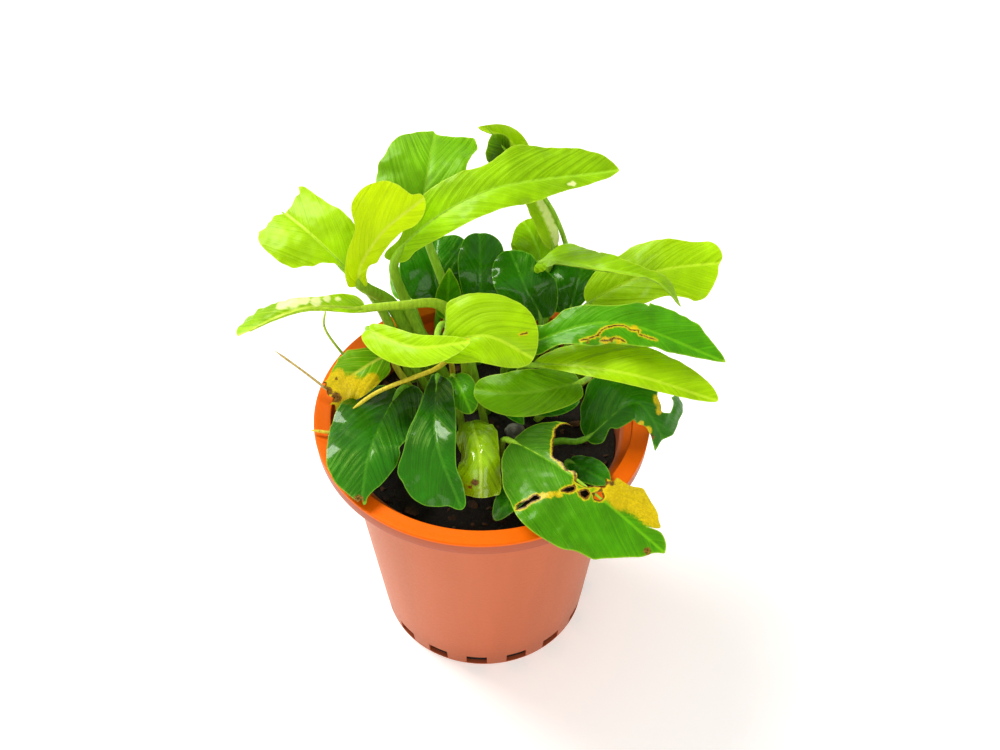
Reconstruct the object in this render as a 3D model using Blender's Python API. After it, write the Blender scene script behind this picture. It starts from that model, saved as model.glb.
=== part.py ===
"""Potted pothos plant: leaves on their stalks, vine stems and soil in a tapered plastic nursery pot."""
import math

import bmesh
import bpy
from mathutils import Vector

MM = 0.001
GAP = 0.3

# Pot, in millimetres. The pot stands on the plane z = 0, its axis is the Z axis.
POT_HEIGHT = 113.0
BASE_RADIUS = 43.0
WALL_TOP_RADIUS = 55.0
WALL_THICKNESS = 1.3
FLOOR_THICKNESS = 1.6
RIM_RADIUS = 65.0
RIM_INNER_RADIUS = 58.3
LIP_THICKNESS = 1.4
SKIRT_DROP = 6.2
FOOT_CHAMFER = 0.8
POT_SEGMENTS = 64

# Drain slots around the foot of the wall.
SLOT_COUNT = 16
SLOT_WIDTH = 8.6
SLOT_BOTTOM = 1.2
SLOT_TOP = 6.7
SLOT_CUT_DEPTH = 8.0
SLOT_FIRST_ANGLE = -95.0

# Soil and the pebble that lies on it.
SOIL_TOP = 96.0
SOIL_SEGMENTS = 48
PEBBLE_SIZE = (4.2, 3.6, 2.8)
PEBBLE_PLACE = (13.0, 1.0)
PEBBLE_SEGMENTS = 10

# Leaves: thickness of the blade at the midrib and halfway out, and how finely it is divided.
MIDRIB_THICKNESS = 1.1
BLADE_THICKNESS = 0.8
STALK_RADIUS = 1.2
VEIN_SWEEP = 1.35
LOBE_REACH = 0.4
BLADE_STATIONS = (0.03, 0.11, 0.24, 0.4, 0.56, 0.72, 0.86, 0.95)
STALK_STEPS = 3
CURVE_STEPS = 12
SHOOT_STEPS = 3
SECTION_POINTS = 8

GREENS = {
    "lime": (0.50, 0.80, 0.02),
    "bright": (0.33, 0.62, 0.01),
    "mid": (0.15, 0.42, 0.01),
    "dark": (0.03, 0.20, 0.01),
    "yellow": (0.85, 0.70, 0.02),
    "straw": (0.45, 0.33, 0.08),
    "stem": (0.22, 0.30, 0.06),
}


class Leaf:
    """One leaf: the route of its stalk and blade, its half widths, the way it faces and its curves."""

    def __init__(self, name, stalk, blade, width, face, fold=12, curl=35, shape=(0.5, 0.8),
                 lobe=0.1, end=1.0, radius=STALK_RADIUS, green="bright"):
        self.name = name
        self.stalk = stalk
        self.blade = blade
        self.width = width
        self.face = face
        self.fold = fold
        self.curl = curl
        self.shape = shape
        self.lobe = lobe
        self.end = end
        self.radius = radius
        self.green = green


# Points are (x, y, z) in millimetres: the stalk from the soil, then the blade's base, middle and tip.
# width is (left, right) seen from the base with the upper face up; face is the way the upper face
# looks at the base and at the tip; fold and curl are degrees, for both halves or (left, right).
LEAVES = [
    # The crown, high up.
    Leaf("leaf_top_long", [(-14, 31, 96.3), (-30, 44, 130)],
         [(-31, 42, 158), (2, 50, 180), (52, 62, 180)], (18, 9), ((0.2, -0.4, 0.8), (0, -0.3, 1)),
         fold=12, curl=20, shape=(0.5, 0.6), green="bright"),
    Leaf("leaf_top_back", [(-6, 40, 96.3), (-14, 50, 130)],
         [(-22, 58, 158), (-20, 74, 172), (-17, 96, 175)], (21, 20), ((0, -0.5, 0.9), (0, -0.3, 1)),
         fold=8, curl=15, shape=((0.5, 0.6), (0.5, 0.4)), green="mid"),
    Leaf("leaf_yellow_young", [(-22, 36, 96.3), (-35, 45, 126)],
         [(-47, 37, 148), (-38, 42, 166), (-21, 45, 181)], (19, 7), ((0.1, -0.8, 0.5), (0.1, -0.7, 0.6)),
         fold=6, curl=10, shape=((1.8, 0.45), (1.0, 0.45)), lobe=0, green="lime"),
    Leaf("leaf_notched", [(-28, 32, 96.3), (-40, 44, 126)],
         [(-51, 44, 146), (-66, 56, 155), (-87, 78, 157)], (15, 16), ((0, -0.4, 0.9), (0, -0.4, 0.9)),
         fold=12, curl=20, shape=((0.75, 0.5), (0.5, 0.5)), lobe=0, end=0.85, green="lime"),
    Leaf("leaf_left_thin", [(-4, 16, 96.3), (-7, 24, 128), (-15, 21, 149), (-30, 17, 153)],
         [(-44, 19, 150), (-67, 15, 154), (-91, 9, 146)], (3, 4), ((0, -0.7, 0.7), (-0.3, 0.3, 0.9)),
         fold=20, curl=20, shape=(0.5, 0.5), lobe=0, radius=1.8, green="lime"),
    Leaf("leaf_hooked", [(15, 44, 96.3), (17, 48, 112), (26, 61, 126)],
         [(30, 66, 138), (22, 75, 157), (14, 83, 177), (1, 85, 184)], (5, 4),
         ((0.3, -0.9, 0.3), (0.3, -0.5, 0.8)),
         fold=20, curl=0, shape=(0.3, 0.4), lobe=0, green="lime"),
    Leaf("leaf_cupped", [(22, 40, 96.3), (25, 45, 112), (36, 64, 128), (31, 70, 150), (19, 70, 172)],
         [(10, 73, 183), (3, 73, 194)], (5, 5), ((0, -0.8, 0.6), (0, -0.8, 0.6)),
         fold=20, curl=-20, shape=(0.5, 0.4), lobe=0, radius=0.9, green="mid"),
    # The middle tier, in front.
    Leaf("leaf_front_round", [(1, 8, 96.3), (-5, 16, 128), (-14, 15, 145)],
         [(-15, 0, 150), (2, -3, 156), (19, -9, 150)], (17, 10), ((0, -0.5, 0.8), (0, -0.5, 0.8)),
         fold=8, curl=25, shape=(0.5, 0.5), green="lime"),
    Leaf("leaf_front_band", [(-18, 18, 96.3), (-32, 18, 132)],
         [(-43, 13, 145), (-25, -1, 149), (-4, -10, 160)], (5, 8), ((0, -0.5, 0.8), (0, -0.5, 0.8)),
         fold=4, curl=10, shape=(0.4, 0.6), lobe=0, green="lime"),
    Leaf("leaf_right_upper", [(8, 22, 96.3), (10, 14, 128)],
         [(18, 2, 147), (49, 0, 159), (89, -10, 148)], (11, 7), ((0, -0.3, 0.9), (0, -0.3, 0.9)),
         fold=10, curl=20, shape=((0.5, 0.4), (0.5, 0.5)), green="dark"),
    Leaf("leaf_right_lower", [(16, 12, 96.3), (14, 6, 122)],
         [(19, -1, 139), (52, -14, 147), (86, -21, 139)], (13, 4), ((0, -0.3, 0.9), (0, -0.3, 0.9)),
         fold=4, curl=20, shape=(0.7, 0.6), lobe=0, green="bright"),
    Leaf("leaf_arching", [(16, 31, 96.3), (20, 42, 113), (25, 51, 130)],
         [(25, 48, 147), (45, 31, 158), (66, 27, 155), (78, 25, 142)], (13, 2), ((0, -0.2, 1), (0.4, -0.2, 0.8)),
         fold=0, curl=10, shape=(0.35, 0.9), lobe=0, green="bright"),
    Leaf("leaf_far_right", [(28, 26, 96.3), (37, 37, 118)],
         [(43, 42, 129), (68, 47, 141), (96, 49, 144)], (13, 13), ((0, -0.3, 0.9), (0, -0.3, 0.9)),
         fold=6, curl=15, shape=(0.5, 0.3), green="bright"),
    # The dark leaves behind the middle tier.
    Leaf("leaf_centre_left", [(-16, 46, 96.3), (-18, 50, 110)],
         [(-17, 52, 122), (-19, 61, 133), (-18, 73, 137)], (13, 12), ((0, -0.8, 0.6), (0, -0.6, 0.8)),
         fold=8, curl=15, shape=(0.5, 0.4), green="dark"),
    Leaf("leaf_centre", [(-1, 42, 96.3), (0, 45, 112)],
         [(0, 46, 126), (0, 54, 138), (0, 70, 143)], (9, 10), ((0, -0.8, 0.6), (0, -0.6, 0.8)),
         fold=8, curl=15, shape=(0.5, 0.4), green="dark"),
    Leaf("leaf_centre_right", [(10, 36, 96.3), (21, 33, 112)],
         [(24, 38, 125), (18, 44, 136), (13, 56, 142)], (8, 10), ((0, -0.8, 0.6), (0, -0.6, 0.8)),
         fold=8, curl=15, shape=((0.4, 0.4), (0.35, 0.8)), lobe=0, green="dark"),
    Leaf("leaf_under_arch", [(24, 32, 96.3), (31, 40, 109)],
         [(36, 48, 118), (39, 54, 127), (43, 63, 136)], (6, 15), ((0, -0.8, 0.6), (0, -0.6, 0.8)),
         fold=8, curl=15, shape=(0.4, 0.4), green="dark"),
    Leaf("leaf_pale_behind", [(7, 47, 96.3), (10, 51, 112)],
         [(24, 69, 126), (22, 76, 135), (18, 82, 139)], (10, 9), ((0, -0.8, 0.6), (0, -0.6, 0.8)),
         fold=8, curl=15, shape=(0.5, 0.5), green="bright"),
    Leaf("leaf_spike", [(-9, 48, 96.3), (-12, 44, 108)],
         [(-14, 44, 120), (-13, 44, 134), (-12, 43, 148)], (5, 6), ((0, -0.9, 0.4), (0, -0.9, 0.4)),
         fold=12, curl=10, shape=(0.5, 0.9), lobe=0, green="mid"),
    # The lower tier, near the rim.
    Leaf("leaf_pale_low", [(22, 10, 96.3), (40, 10, 118)],
         [(37, -2, 130), (16, -10, 133), (-3, -3, 128)], (9, 9), ((0, -0.5, 0.9), (0, -0.5, 0.9)),
         fold=4, curl=20, shape=(0.5, 0.45), green="bright"),
    Leaf("leaf_front_left", [(-24, 8, 96.3), (-28, 10, 114)],
         [(-33, 3, 119), (-41, -28, 124), (-44, -47, 117)], (15, 17), ((0, -0.3, 0.9), (0, -0.6, 0.8)),
         fold=4, curl=20, shape=(0.45, 0.5), green="dark"),
    Leaf("leaf_front_middle", [(-14, 6, 96.3), (-16, 8, 116)],
         [(-17, 3, 128), (-17, -28, 128), (-8, -50, 115)], (9, 16), ((0, -0.5, 0.9), (0, -0.8, 0.6)),
         fold=8, curl=20, shape=((0.5, 0.35), (1.1, 0.35)), lobe=0, green="dark"),
    Leaf("leaf_glossy_small", [(-4, -4, 96.3), (-4, -8, 108)],
         [(-4, -12, 118), (-1, -31, 121), (-1, -42, 110)], (7, 6), ((0, -0.3, 0.9), (0, -0.9, 0.4)),
         fold=4, curl=30, shape=(0.5, 0.3), lobe=0, green="lime"),
    Leaf("leaf_bitten", [(8, -10, 96.3), (7, -18, 112)],
         [(11, -25, 123), (33, -50, 131), (62, -75, 121)], (17, 24), ((0, -0.3, 0.9), (0.2, -0.3, 0.9)),
         fold=4, curl=20, shape=((0.5, 0.6), (0.5, 0.7)), lobe=0, green="mid"),
    Leaf("leaf_holed", [(17, -6, 96.3), (29, -14, 110)],
         [(39, -18, 116), (57, -13, 130), (70, -20, 113)], (15, 6), ((0, -0.4, 0.9), (0.3, -0.4, 0.8)),
         fold=6, curl=20, shape=(0.4, 0.28), lobe=0, green="dark"),
    Leaf("leaf_yellowed", [(-22, 14, 96.3), (-32, 14, 120)],
         [(-36, 13, 130), (-46, 5, 131), (-58, 3, 121)], (7, 12), ((0, -0.4, 0.9), (0, -0.4, 0.9)),
         fold=4, curl=20, shape=(0.5, 0.4), lobe=0, green="yellow"),
    Leaf("leaf_under_pale", [(12, 18, 96.3), (16, 14, 104)],
         [(19, 9, 108), (29, 6, 112), (38, 4, 113)], (8, 7), ((0, -0.4, 0.9), (0, -0.4, 0.9)),
         fold=6, curl=20, shape=(0.5, 0.6), green="dark"),
    Leaf("leaf_under_round", [(-8, 4, 96.3), (-10, 11, 112)],
         [(-11, 10, 122), (-8, -1, 126), (-4, -10, 122)], (6, 6), ((0, -0.5, 0.9), (0, -0.7, 0.7)),
         fold=6, curl=20, shape=(0.5, 0.5), lobe=0, green="mid"),
    Leaf("leaf_low_front", [(20, -18, 96.3), (20, -24, 102)],
         [(18, -28, 105), (9, -41, 108), (4, -47, 104)], (5, 5), ((0, -0.5, 0.9), (0, -0.5, 0.9)),
         fold=6, curl=20, shape=(0.5, 0.6), lobe=0, green="dark"),
    Leaf("leaf_under_bitten", [(33, -22, 96.3), (32, -20, 101)],
         [(33, -19, 104), (38, -28, 110), (46, -41, 117)], (6, 5), ((0, -0.5, 0.9), (0, -0.5, 0.9)),
         fold=6, curl=20, shape=(0.5, 0.6), lobe=0, green="dark"),
    Leaf("leaf_small_tip", [(2, 14, 96.3), (4, 12, 110)],
         [(7, 6, 115), (10, -1, 117), (16, -8, 113)], (4, 4), ((0, -0.5, 0.9), (0, -0.5, 0.9)),
         fold=6, curl=20, shape=(0.5, 0.8), lobe=0, green="dark"),
    # Low leaves at the back.
    Leaf("leaf_back_left", [(-22, 44, 96.3), (-24, 46, 110)],
         [(-28, 55, 120), (-28, 71, 122), (-28, 84, 109)], (10, 10), ((0, 0.2, 1), (0, 0.6, 0.8)),
         fold=8, curl=20, shape=(0.5, 0.5), green="mid"),
    Leaf("leaf_back_middle", [(0, 50, 96.3), (0, 52, 113)],
         [(0, 58, 119), (2, 75, 121), (4, 90, 107)], (12, 12), ((0, 0.2, 1), (0, 0.6, 0.8)),
         fold=8, curl=20, shape=(0.5, 0.5), green="mid"),
    Leaf("leaf_back_right", [(38, 26, 96.3), (42, 31, 108), (46, 37, 116)],
         [(51, 44, 117), (57, 55, 116), (60, 62, 103)], (8, 8), ((0, 0.2, 1), (0, 0.6, 0.8)),
         fold=8, curl=20, shape=(0.5, 0.5), green="dark"),
]


class Shoot:
    """A stem, bare stalk or root without a blade: its route and its radius at the start and end."""

    def __init__(self, name, route, radii, colour):
        self.name = name
        self.route = route
        self.radii = radii
        self.colour = colour


SHOOTS = [
    Shoot("vine_left", [(-22, 26, 96.3), (-25, 26, 108), (-23, 28, 119)], (2.6, 2.0), "stem"),
    Shoot("vine_centre", [(-6, 31, 96.3), (-4, 31, 110), (-6, 33, 125)], (2.6, 1.9), "stem"),
    Shoot("vine_right", [(19, 23, 96.3), (20, 22, 106), (18, 22, 116)], (2.6, 2.0), "stem"),
    Shoot("old_stalk", [(-12, 19, 96.3), (-12, 17, 122), (-19, 2, 133), (-38, -6, 131), (-48, -13, 129)],
          (1.2, 0.7), "yellow"),
    Shoot("stalk_on_rim", [(-38, -14, 96.3), (-49, -13, 108), (-55, -13, 114.5), (-65, -11, 115)],
          (0.9, 0.6), "yellow"),
    Shoot("aerial_root", [(-38, 18, 96.3), (-49, 19, 116), (-60, 24, 133), (-60, 28, 141)],
          (0.7, 0.4), "bright"),
    Shoot("dried_tendril", [(-42, 2, 96.3), (-50, 3, 110), (-57, 5, 117), (-69, 14, 121), (-81, 23, 124)],
          (0.8, 0.4), "straw"),
]


def mm(values):
    """Turn millimetres into a vector in metres."""
    return Vector(values) * MM


def material(name, colour, roughness, metallic=0.0):
    """Return a Principled material with one colour."""
    made = bpy.data.materials.new(name)
    made.use_nodes = True
    shader = made.node_tree.nodes["Principled BSDF"]
    shader.inputs["Base Color"].default_value = (*colour, 1.0)
    shader.inputs["Roughness"].default_value = roughness
    shader.inputs["Metallic"].default_value = metallic
    made.diffuse_color = (*colour, 1.0)
    return made


def add_object(name, mesh, surface):
    """Put a mesh into the scene as a smooth-shaded object."""
    made = bpy.data.objects.new(name, mesh)
    bpy.context.scene.collection.objects.link(made)
    mesh.materials.append(surface)
    mesh.shade_smooth()
    mesh.set_sharp_from_angle(angle=math.radians(40))
    return made


def lathe(name, profile, segments, surface):
    """Turn a profile of (radius, height) points, bottom centre to top centre, into a closed solid."""
    shape = bmesh.new()
    rings = []
    for radius, height in profile:
        if radius == 0:
            rings.append([shape.verts.new(mm((0, 0, height)))])
            continue
        ring = []
        for index in range(segments):
            angle = 2 * math.pi * index / segments
            ring.append(shape.verts.new(mm((radius * math.cos(angle), radius * math.sin(angle), height))))
        rings.append(ring)
    for low, high in zip(rings, rings[1:]):
        for index in range(segments):
            after = (index + 1) % segments
            if len(low) == 1:
                shape.faces.new((low[0], high[after], high[index]))
            elif len(high) == 1:
                shape.faces.new((low[index], low[after], high[0]))
            else:
                shape.faces.new((low[index], low[after], high[after], high[index]))
    mesh = bpy.data.meshes.new(name)
    shape.to_mesh(mesh)
    shape.free()
    return add_object(name, mesh, surface)


def wall_radius(height):
    """Outer radius of the pot's tapered wall."""
    share = height / (POT_HEIGHT - SKIRT_DROP)
    return BASE_RADIUS + (WALL_TOP_RADIUS - BASE_RADIUS) * share


def pot_profile():
    """Outline of the pot: underside, wall, skirt, flat lip, then down the inside to the floor."""
    collar = POT_HEIGHT - SKIRT_DROP
    inner_collar = collar - LIP_THICKNESS
    return [
        (0, 0),
        (BASE_RADIUS - FOOT_CHAMFER, 0),
        (BASE_RADIUS, FOOT_CHAMFER),
        (wall_radius(inner_collar), inner_collar),
        (RIM_INNER_RADIUS + LIP_THICKNESS * 0.7, collar + LIP_THICKNESS),
        (RIM_INNER_RADIUS + LIP_THICKNESS, POT_HEIGHT - LIP_THICKNESS),
        (RIM_RADIUS - LIP_THICKNESS - 0.2, POT_HEIGHT - LIP_THICKNESS),
        (RIM_RADIUS - LIP_THICKNESS - 0.4, collar),
        (RIM_RADIUS - 0.4, collar),
        (RIM_RADIUS, POT_HEIGHT - 0.6),
        (RIM_RADIUS - 0.6, POT_HEIGHT),
        (RIM_INNER_RADIUS, POT_HEIGHT),
        (RIM_INNER_RADIUS - LIP_THICKNESS * 0.3, collar + LIP_THICKNESS),
        (wall_radius(inner_collar) - WALL_THICKNESS, inner_collar),
        (wall_radius(FLOOR_THICKNESS) - WALL_THICKNESS, FLOOR_THICKNESS),
        (0, FLOOR_THICKNESS),
    ]


def slot_cutter():
    """Ring of blocks that cut the drain slots through the foot of the wall."""
    shape = bmesh.new()
    depth = SLOT_CUT_DEPTH * MM
    for index in range(SLOT_COUNT):
        angle = math.radians(SLOT_FIRST_ANGLE + 360 * index / SLOT_COUNT)
        block = bmesh.ops.create_cube(shape, size=1.0)["verts"]
        for vert in block:
            out = BASE_RADIUS * MM + vert.co.x * depth
            across = vert.co.y * SLOT_WIDTH * MM
            height = (SLOT_BOTTOM + (SLOT_TOP - SLOT_BOTTOM) * (vert.co.z + 0.5)) * MM
            vert.co = (
                out * math.cos(angle) - across * math.sin(angle),
                out * math.sin(angle) + across * math.cos(angle),
                height,
            )
    mesh = bpy.data.meshes.new("slot_cutter")
    shape.to_mesh(mesh)
    shape.free()
    cutter = bpy.data.objects.new("slot_cutter", mesh)
    bpy.context.scene.collection.objects.link(cutter)
    cutter.hide_render = True
    cutter.display_type = "WIRE"
    return cutter


def make_pot():
    """Tapered pot with a flat lip, a short skirt under it and slots around its foot."""
    plastic = material("pot_plastic", (0.70, 0.23, 0.13), 0.45)
    pot = lathe("pot", pot_profile(), POT_SEGMENTS, plastic)
    cut = pot.modifiers.new("slots", "BOOLEAN")
    cut.operation = "DIFFERENCE"
    cut.solver = "EXACT"
    cut.object = slot_cutter()


def make_soil():
    """Potting soil that fills the pot up to a little below the rim."""
    bottom = FLOOR_THICKNESS + GAP
    inner = WALL_THICKNESS + GAP
    profile = [
        (0, bottom),
        (wall_radius(bottom) - inner, bottom),
        (wall_radius(SOIL_TOP) - inner, SOIL_TOP),
        (0, SOIL_TOP),
    ]
    lathe("soil", profile, SOIL_SEGMENTS, material("soil", (0.03, 0.02, 0.015), 0.95))


def make_pebble():
    """Small rounded stone on the soil."""
    shape = bmesh.new()
    bmesh.ops.create_uvsphere(shape, u_segments=PEBBLE_SEGMENTS, v_segments=6, radius=1.0)
    for vert in shape.verts:
        vert.co = mm((
            PEBBLE_PLACE[0] + vert.co.x * PEBBLE_SIZE[0],
            PEBBLE_PLACE[1] + vert.co.y * PEBBLE_SIZE[1],
            SOIL_TOP + GAP + (vert.co.z + 1) * PEBBLE_SIZE[2],
        ))
    mesh = bpy.data.meshes.new("pebble")
    shape.to_mesh(mesh)
    shape.free()
    add_object("pebble", mesh, material("pebble", (0.25, 0.24, 0.2), 0.8))


def smooth_curve(points, steps):
    """Catmull-Rom curve through the points, with the given number of steps between each two."""
    knots = [Vector(point) for point in points]
    knots = [2 * knots[0] - knots[1]] + knots + [2 * knots[-1] - knots[-2]]
    curve = []
    for before, start, end, after in zip(knots, knots[1:], knots[2:], knots[3:]):
        for step in range(steps):
            t = step / steps
            curve.append(0.5 * (
                2 * start
                + (end - before) * t
                + (2 * before - 5 * start + 4 * end - after) * t * t
                + (3 * start - before - 3 * end + after) * t * t * t
            ))
    curve.append(knots[-2])
    return curve


def pair(value):
    """Give the left and right value of a setting that may be one number for both halves."""
    return value if isinstance(value, tuple) else (value, value)


class Blade:
    """The curved surface of a leaf: flat leaf coordinates in, points and normals out."""

    def __init__(self, leaf):
        route = smooth_curve(leaf.stalk + leaf.blade, CURVE_STEPS)
        first = len(leaf.stalk) * CURVE_STEPS
        self.leaf = leaf
        self.stalk = route[:first + 1]
        self.spine = route[first:]
        self.reach = [0.0]
        for here, there in zip(self.spine, self.spine[1:]):
            self.reach.append(self.reach[-1] + (there - here).length)
        self.length = self.reach[-1]

    def frame(self, share):
        """Point on the midrib with its forward, side and up directions."""
        wanted = min(max(share, 0.0), 1.0) * self.length
        index = 0
        while index < len(self.reach) - 2 and self.reach[index + 1] < wanted:
            index += 1
        step = self.reach[index + 1] - self.reach[index]
        part = (wanted - self.reach[index]) / step
        point = self.spine[index].lerp(self.spine[index + 1], part)
        last = len(self.spine) - 1
        low = self.spine[min(index + 1, last)] - self.spine[max(index - 1, 0)]
        high = self.spine[min(index + 2, last)] - self.spine[index]
        ahead = low.normalized().lerp(high.normalized(), part).normalized()
        point = point + ahead * (share * self.length - wanted)
        base_face = Vector(self.leaf.face[0]).normalized()
        tip_face = Vector(self.leaf.face[1]).normalized()
        face = base_face.lerp(tip_face, min(max(share, 0.0), 1.0))
        up = (face - ahead * face.dot(ahead)).normalized()
        return point, ahead, up.cross(ahead), up

    def place(self, along, across):
        """Point and normal for a place given by its share of the length and its millimetres across."""
        point, _, side, up = self.frame(along)
        half = 0 if across >= 0 else 1
        sign = 1 if across >= 0 else -1
        fold = math.radians(pair(self.leaf.fold)[half])
        bend = math.radians(pair(self.leaf.curl)[half]) / self.leaf.width[half]
        distance = abs(across)
        angle = fold - bend * distance
        if abs(bend) < 1e-6:
            out = distance * math.cos(fold)
            rise = distance * math.sin(fold)
        else:
            out = (math.sin(fold) - math.sin(angle)) / bend
            rise = (math.cos(angle) - math.cos(fold)) / bend
        place = point + side * (sign * out) + up * rise
        normal = up * math.cos(angle) - side * (sign * math.sin(angle))
        return place, normal

    def outline(self, station, half):
        """Half width as a share of the widest, and how far along the margin lies at this station."""
        shape = self.leaf.shape
        rise, taper = shape[half] if isinstance(shape[0], tuple) else shape
        peak = rise / (rise + taper)
        top = peak ** rise * (1 - peak) ** taper
        wide = station ** rise * (1 - station) ** taper / top
        back = self.leaf.lobe * math.sin(math.pi * min(1.0, station / LOBE_REACH))
        return wide, station - back


def blade_section(blade, station):
    """Ring of points around the blade at a station: left margin, top, right margin, underside."""
    rib = station ** VEIN_SWEEP
    top = []
    under = []
    for share in (1.0, 0.5, 0.0, -0.5, -1.0):
        half = 0 if share >= 0 else 1
        wide, margin = blade.outline(station, half)
        along = rib + (margin - rib) * abs(share)
        across = share * max(blade.leaf.width[half] * wide, blade.leaf.radius)
        point, normal = blade.place(along, across)
        thick = 0.5 * (MIDRIB_THICKNESS if share == 0 else BLADE_THICKNESS)
        if abs(share) == 1.0:
            top.append(point)
            continue
        top.append(point + normal * thick)
        under.append(point - normal * thick)
    return top + under[::-1]


def stalk_section(centre, ahead, up, radius):
    """Ring of points around the stalk, in the same order as a blade section."""
    side = up.cross(ahead).normalized()
    above = ahead.cross(side).normalized()
    ring = []
    for index in range(SECTION_POINTS):
        angle = 2 * math.pi * index / SECTION_POINTS
        ring.append(centre + (side * math.cos(angle) + above * math.sin(angle)) * radius)
    return ring


def stand_on_soil(ring):
    """Cut a stalk's first ring level, just clear of the soil."""
    for point in ring:
        point.z = SOIL_TOP + GAP


def carried_frames(route, last_up):
    """Carry an up direction back along a route, from its end to its start, without twisting it."""
    ahead = [(there - here).normalized() for here, there in zip(route, route[1:])]
    ahead.append(ahead[-1])
    ups = [last_up]
    for direction in reversed(ahead[:-1]):
        up = ups[-1]
        ups.append((up - direction * up.dot(direction)).normalized())
    return ahead, ups[::-1]


def loft(name, rings, tip, surface):
    """Join rings of points into one closed skin with a flat start and a pointed end.

    The quads are split along matching diagonals above and below, so a thin blade never folds
    through itself.
    """
    shape = bmesh.new()
    loops = [[shape.verts.new(point * MM) for point in ring] for ring in rings]
    point = shape.verts.new(tip * MM)
    count = len(loops[0])
    shape.faces.new(loops[0][::-1])
    for low, high in zip(loops, loops[1:]):
        for index in range(count):
            after = (index + 1) % count
            if index < count // 2:
                shape.faces.new((low[index], low[after], high[after]))
                shape.faces.new((low[index], high[after], high[index]))
            else:
                shape.faces.new((low[index], low[after], high[index]))
                shape.faces.new((low[after], high[after], high[index]))
    for index in range(count):
        after = (index + 1) % count
        shape.faces.new((loops[-1][index], loops[-1][after], point))
    mesh = bpy.data.meshes.new(name)
    shape.to_mesh(mesh)
    shape.free()
    return add_object(name, mesh, surface)


def make_leaf(leaf):
    """Leaf as one solid: round stalk that flattens into the blade."""
    blade = Blade(leaf)
    _, _, _, up = blade.frame(0.0)
    stride = CURVE_STEPS // STALK_STEPS
    route = blade.stalk[::stride]
    ahead, ups = carried_frames(route, up)
    rings = []
    for centre, forward, above in list(zip(route, ahead, ups))[:-1]:
        rings.append(stalk_section(centre, forward, above, leaf.radius))
    stand_on_soil(rings[0])
    stations = [station * leaf.end for station in BLADE_STATIONS]
    rings += [blade_section(blade, station) for station in stations]
    tip, _ = blade.place(leaf.end, 0.0)
    surface = material(leaf.name, GREENS[leaf.green], 0.4)
    loft(leaf.name, rings, tip, surface)


def make_shoot(shoot):
    """Round stem along a route, thinner towards its end."""
    route = smooth_curve(shoot.route, SHOOT_STEPS)
    start, end = shoot.radii
    ahead, ups = carried_frames(route, Vector((0.0, 0.0, 1.0)))
    rings = []
    for index, centre in enumerate(route[:-1]):
        radius = start + (end - start) * index / (len(route) - 1)
        rings.append(stalk_section(centre, ahead[index], ups[index], radius))
    stand_on_soil(rings[0])
    loft(shoot.name, rings, route[-1], material(shoot.name, GREENS[shoot.colour], 0.5))


def main():
    for old in list(bpy.data.objects):
        bpy.data.objects.remove(old, do_unlink=True)
    make_pot()
    make_soil()
    make_pebble()
    for leaf in LEAVES:
        make_leaf(leaf)
    for shoot in SHOOTS:
        make_shoot(shoot)


main()
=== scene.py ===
"""Potted pothos plant: fine leaves, stems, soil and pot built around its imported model."""

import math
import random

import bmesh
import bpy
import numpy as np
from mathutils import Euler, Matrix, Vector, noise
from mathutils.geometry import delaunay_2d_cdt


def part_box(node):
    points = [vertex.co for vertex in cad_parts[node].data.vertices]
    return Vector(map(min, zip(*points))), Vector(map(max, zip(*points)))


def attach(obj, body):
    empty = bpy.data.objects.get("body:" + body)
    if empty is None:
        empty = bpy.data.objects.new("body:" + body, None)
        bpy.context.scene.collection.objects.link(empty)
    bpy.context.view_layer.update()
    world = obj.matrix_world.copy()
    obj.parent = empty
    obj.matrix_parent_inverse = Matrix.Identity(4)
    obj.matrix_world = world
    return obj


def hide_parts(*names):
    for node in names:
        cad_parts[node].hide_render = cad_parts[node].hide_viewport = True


bl_info = {
    "name": "Potted Pothos Plant",
    "version": (1, 0, 0),
    "blender": (4, 5, 0),
    "location": "View3D > Sidebar > Pothos",
    "description": "Builds a potted pothos: veined leaves on stalks, vine stems, soil and a pot",
    "category": "Add Mesh",
}

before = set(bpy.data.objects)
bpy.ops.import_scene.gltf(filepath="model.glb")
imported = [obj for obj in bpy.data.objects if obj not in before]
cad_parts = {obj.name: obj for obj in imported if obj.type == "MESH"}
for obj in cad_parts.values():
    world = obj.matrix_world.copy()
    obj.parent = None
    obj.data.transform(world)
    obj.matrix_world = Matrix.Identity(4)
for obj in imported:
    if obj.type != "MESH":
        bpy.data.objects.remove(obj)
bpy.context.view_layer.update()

MM = 0.001
BODY = "root"

# Pot, in millimetres, with its foot on the plane z = 0.
POT_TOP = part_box("pot")[1].z / MM
RIM_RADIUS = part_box("pot")[1].x / MM
RIM_INNER_RADIUS = 58.3
BASE_RADIUS = 43.0
WALL_TOP_RADIUS = 55.0
WALL_THICKNESS = 1.3
FLOOR_THICKNESS = 1.6
LIP_THICKNESS = 1.4
SKIRT_DROP = 6.2
POT_SEGMENTS = 176
SLOT_COUNT = 16
SLOT_WIDTH = 8.6
SLOT_BOTTOM = 1.2
SLOT_TOP = 6.7
SLOT_CUT_DEPTH = 8.0
SLOT_FIRST_ANGLE = -95.0
POT_SHARP = 35

# Soil, pebble and chips.
SOIL_TOP = 96.0
SOIL_RINGS = 70
SOIL_SEGMENTS = 200
ROOT_DEPTH = 3.0
CHIP_COUNT = 240
PEBBLE_SIZE = (4.2, 3.6, 2.8)
PEBBLE_PLACE = (13.0, 1.0, 99.1)

# Stage, in metres; each light's name, place, size and share of the main light's power.
FLOOR_HALF = 4.0
LIGHT_AIM = (0.0, 0.0, 0.12)
LIGHTS = (
    ("main_light", (-0.65, 0.5, 1.1), 0.6, 1.0),
    ("front_light", (0.2, -1.2, 0.9), 0.9, 0.35),
)

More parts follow.
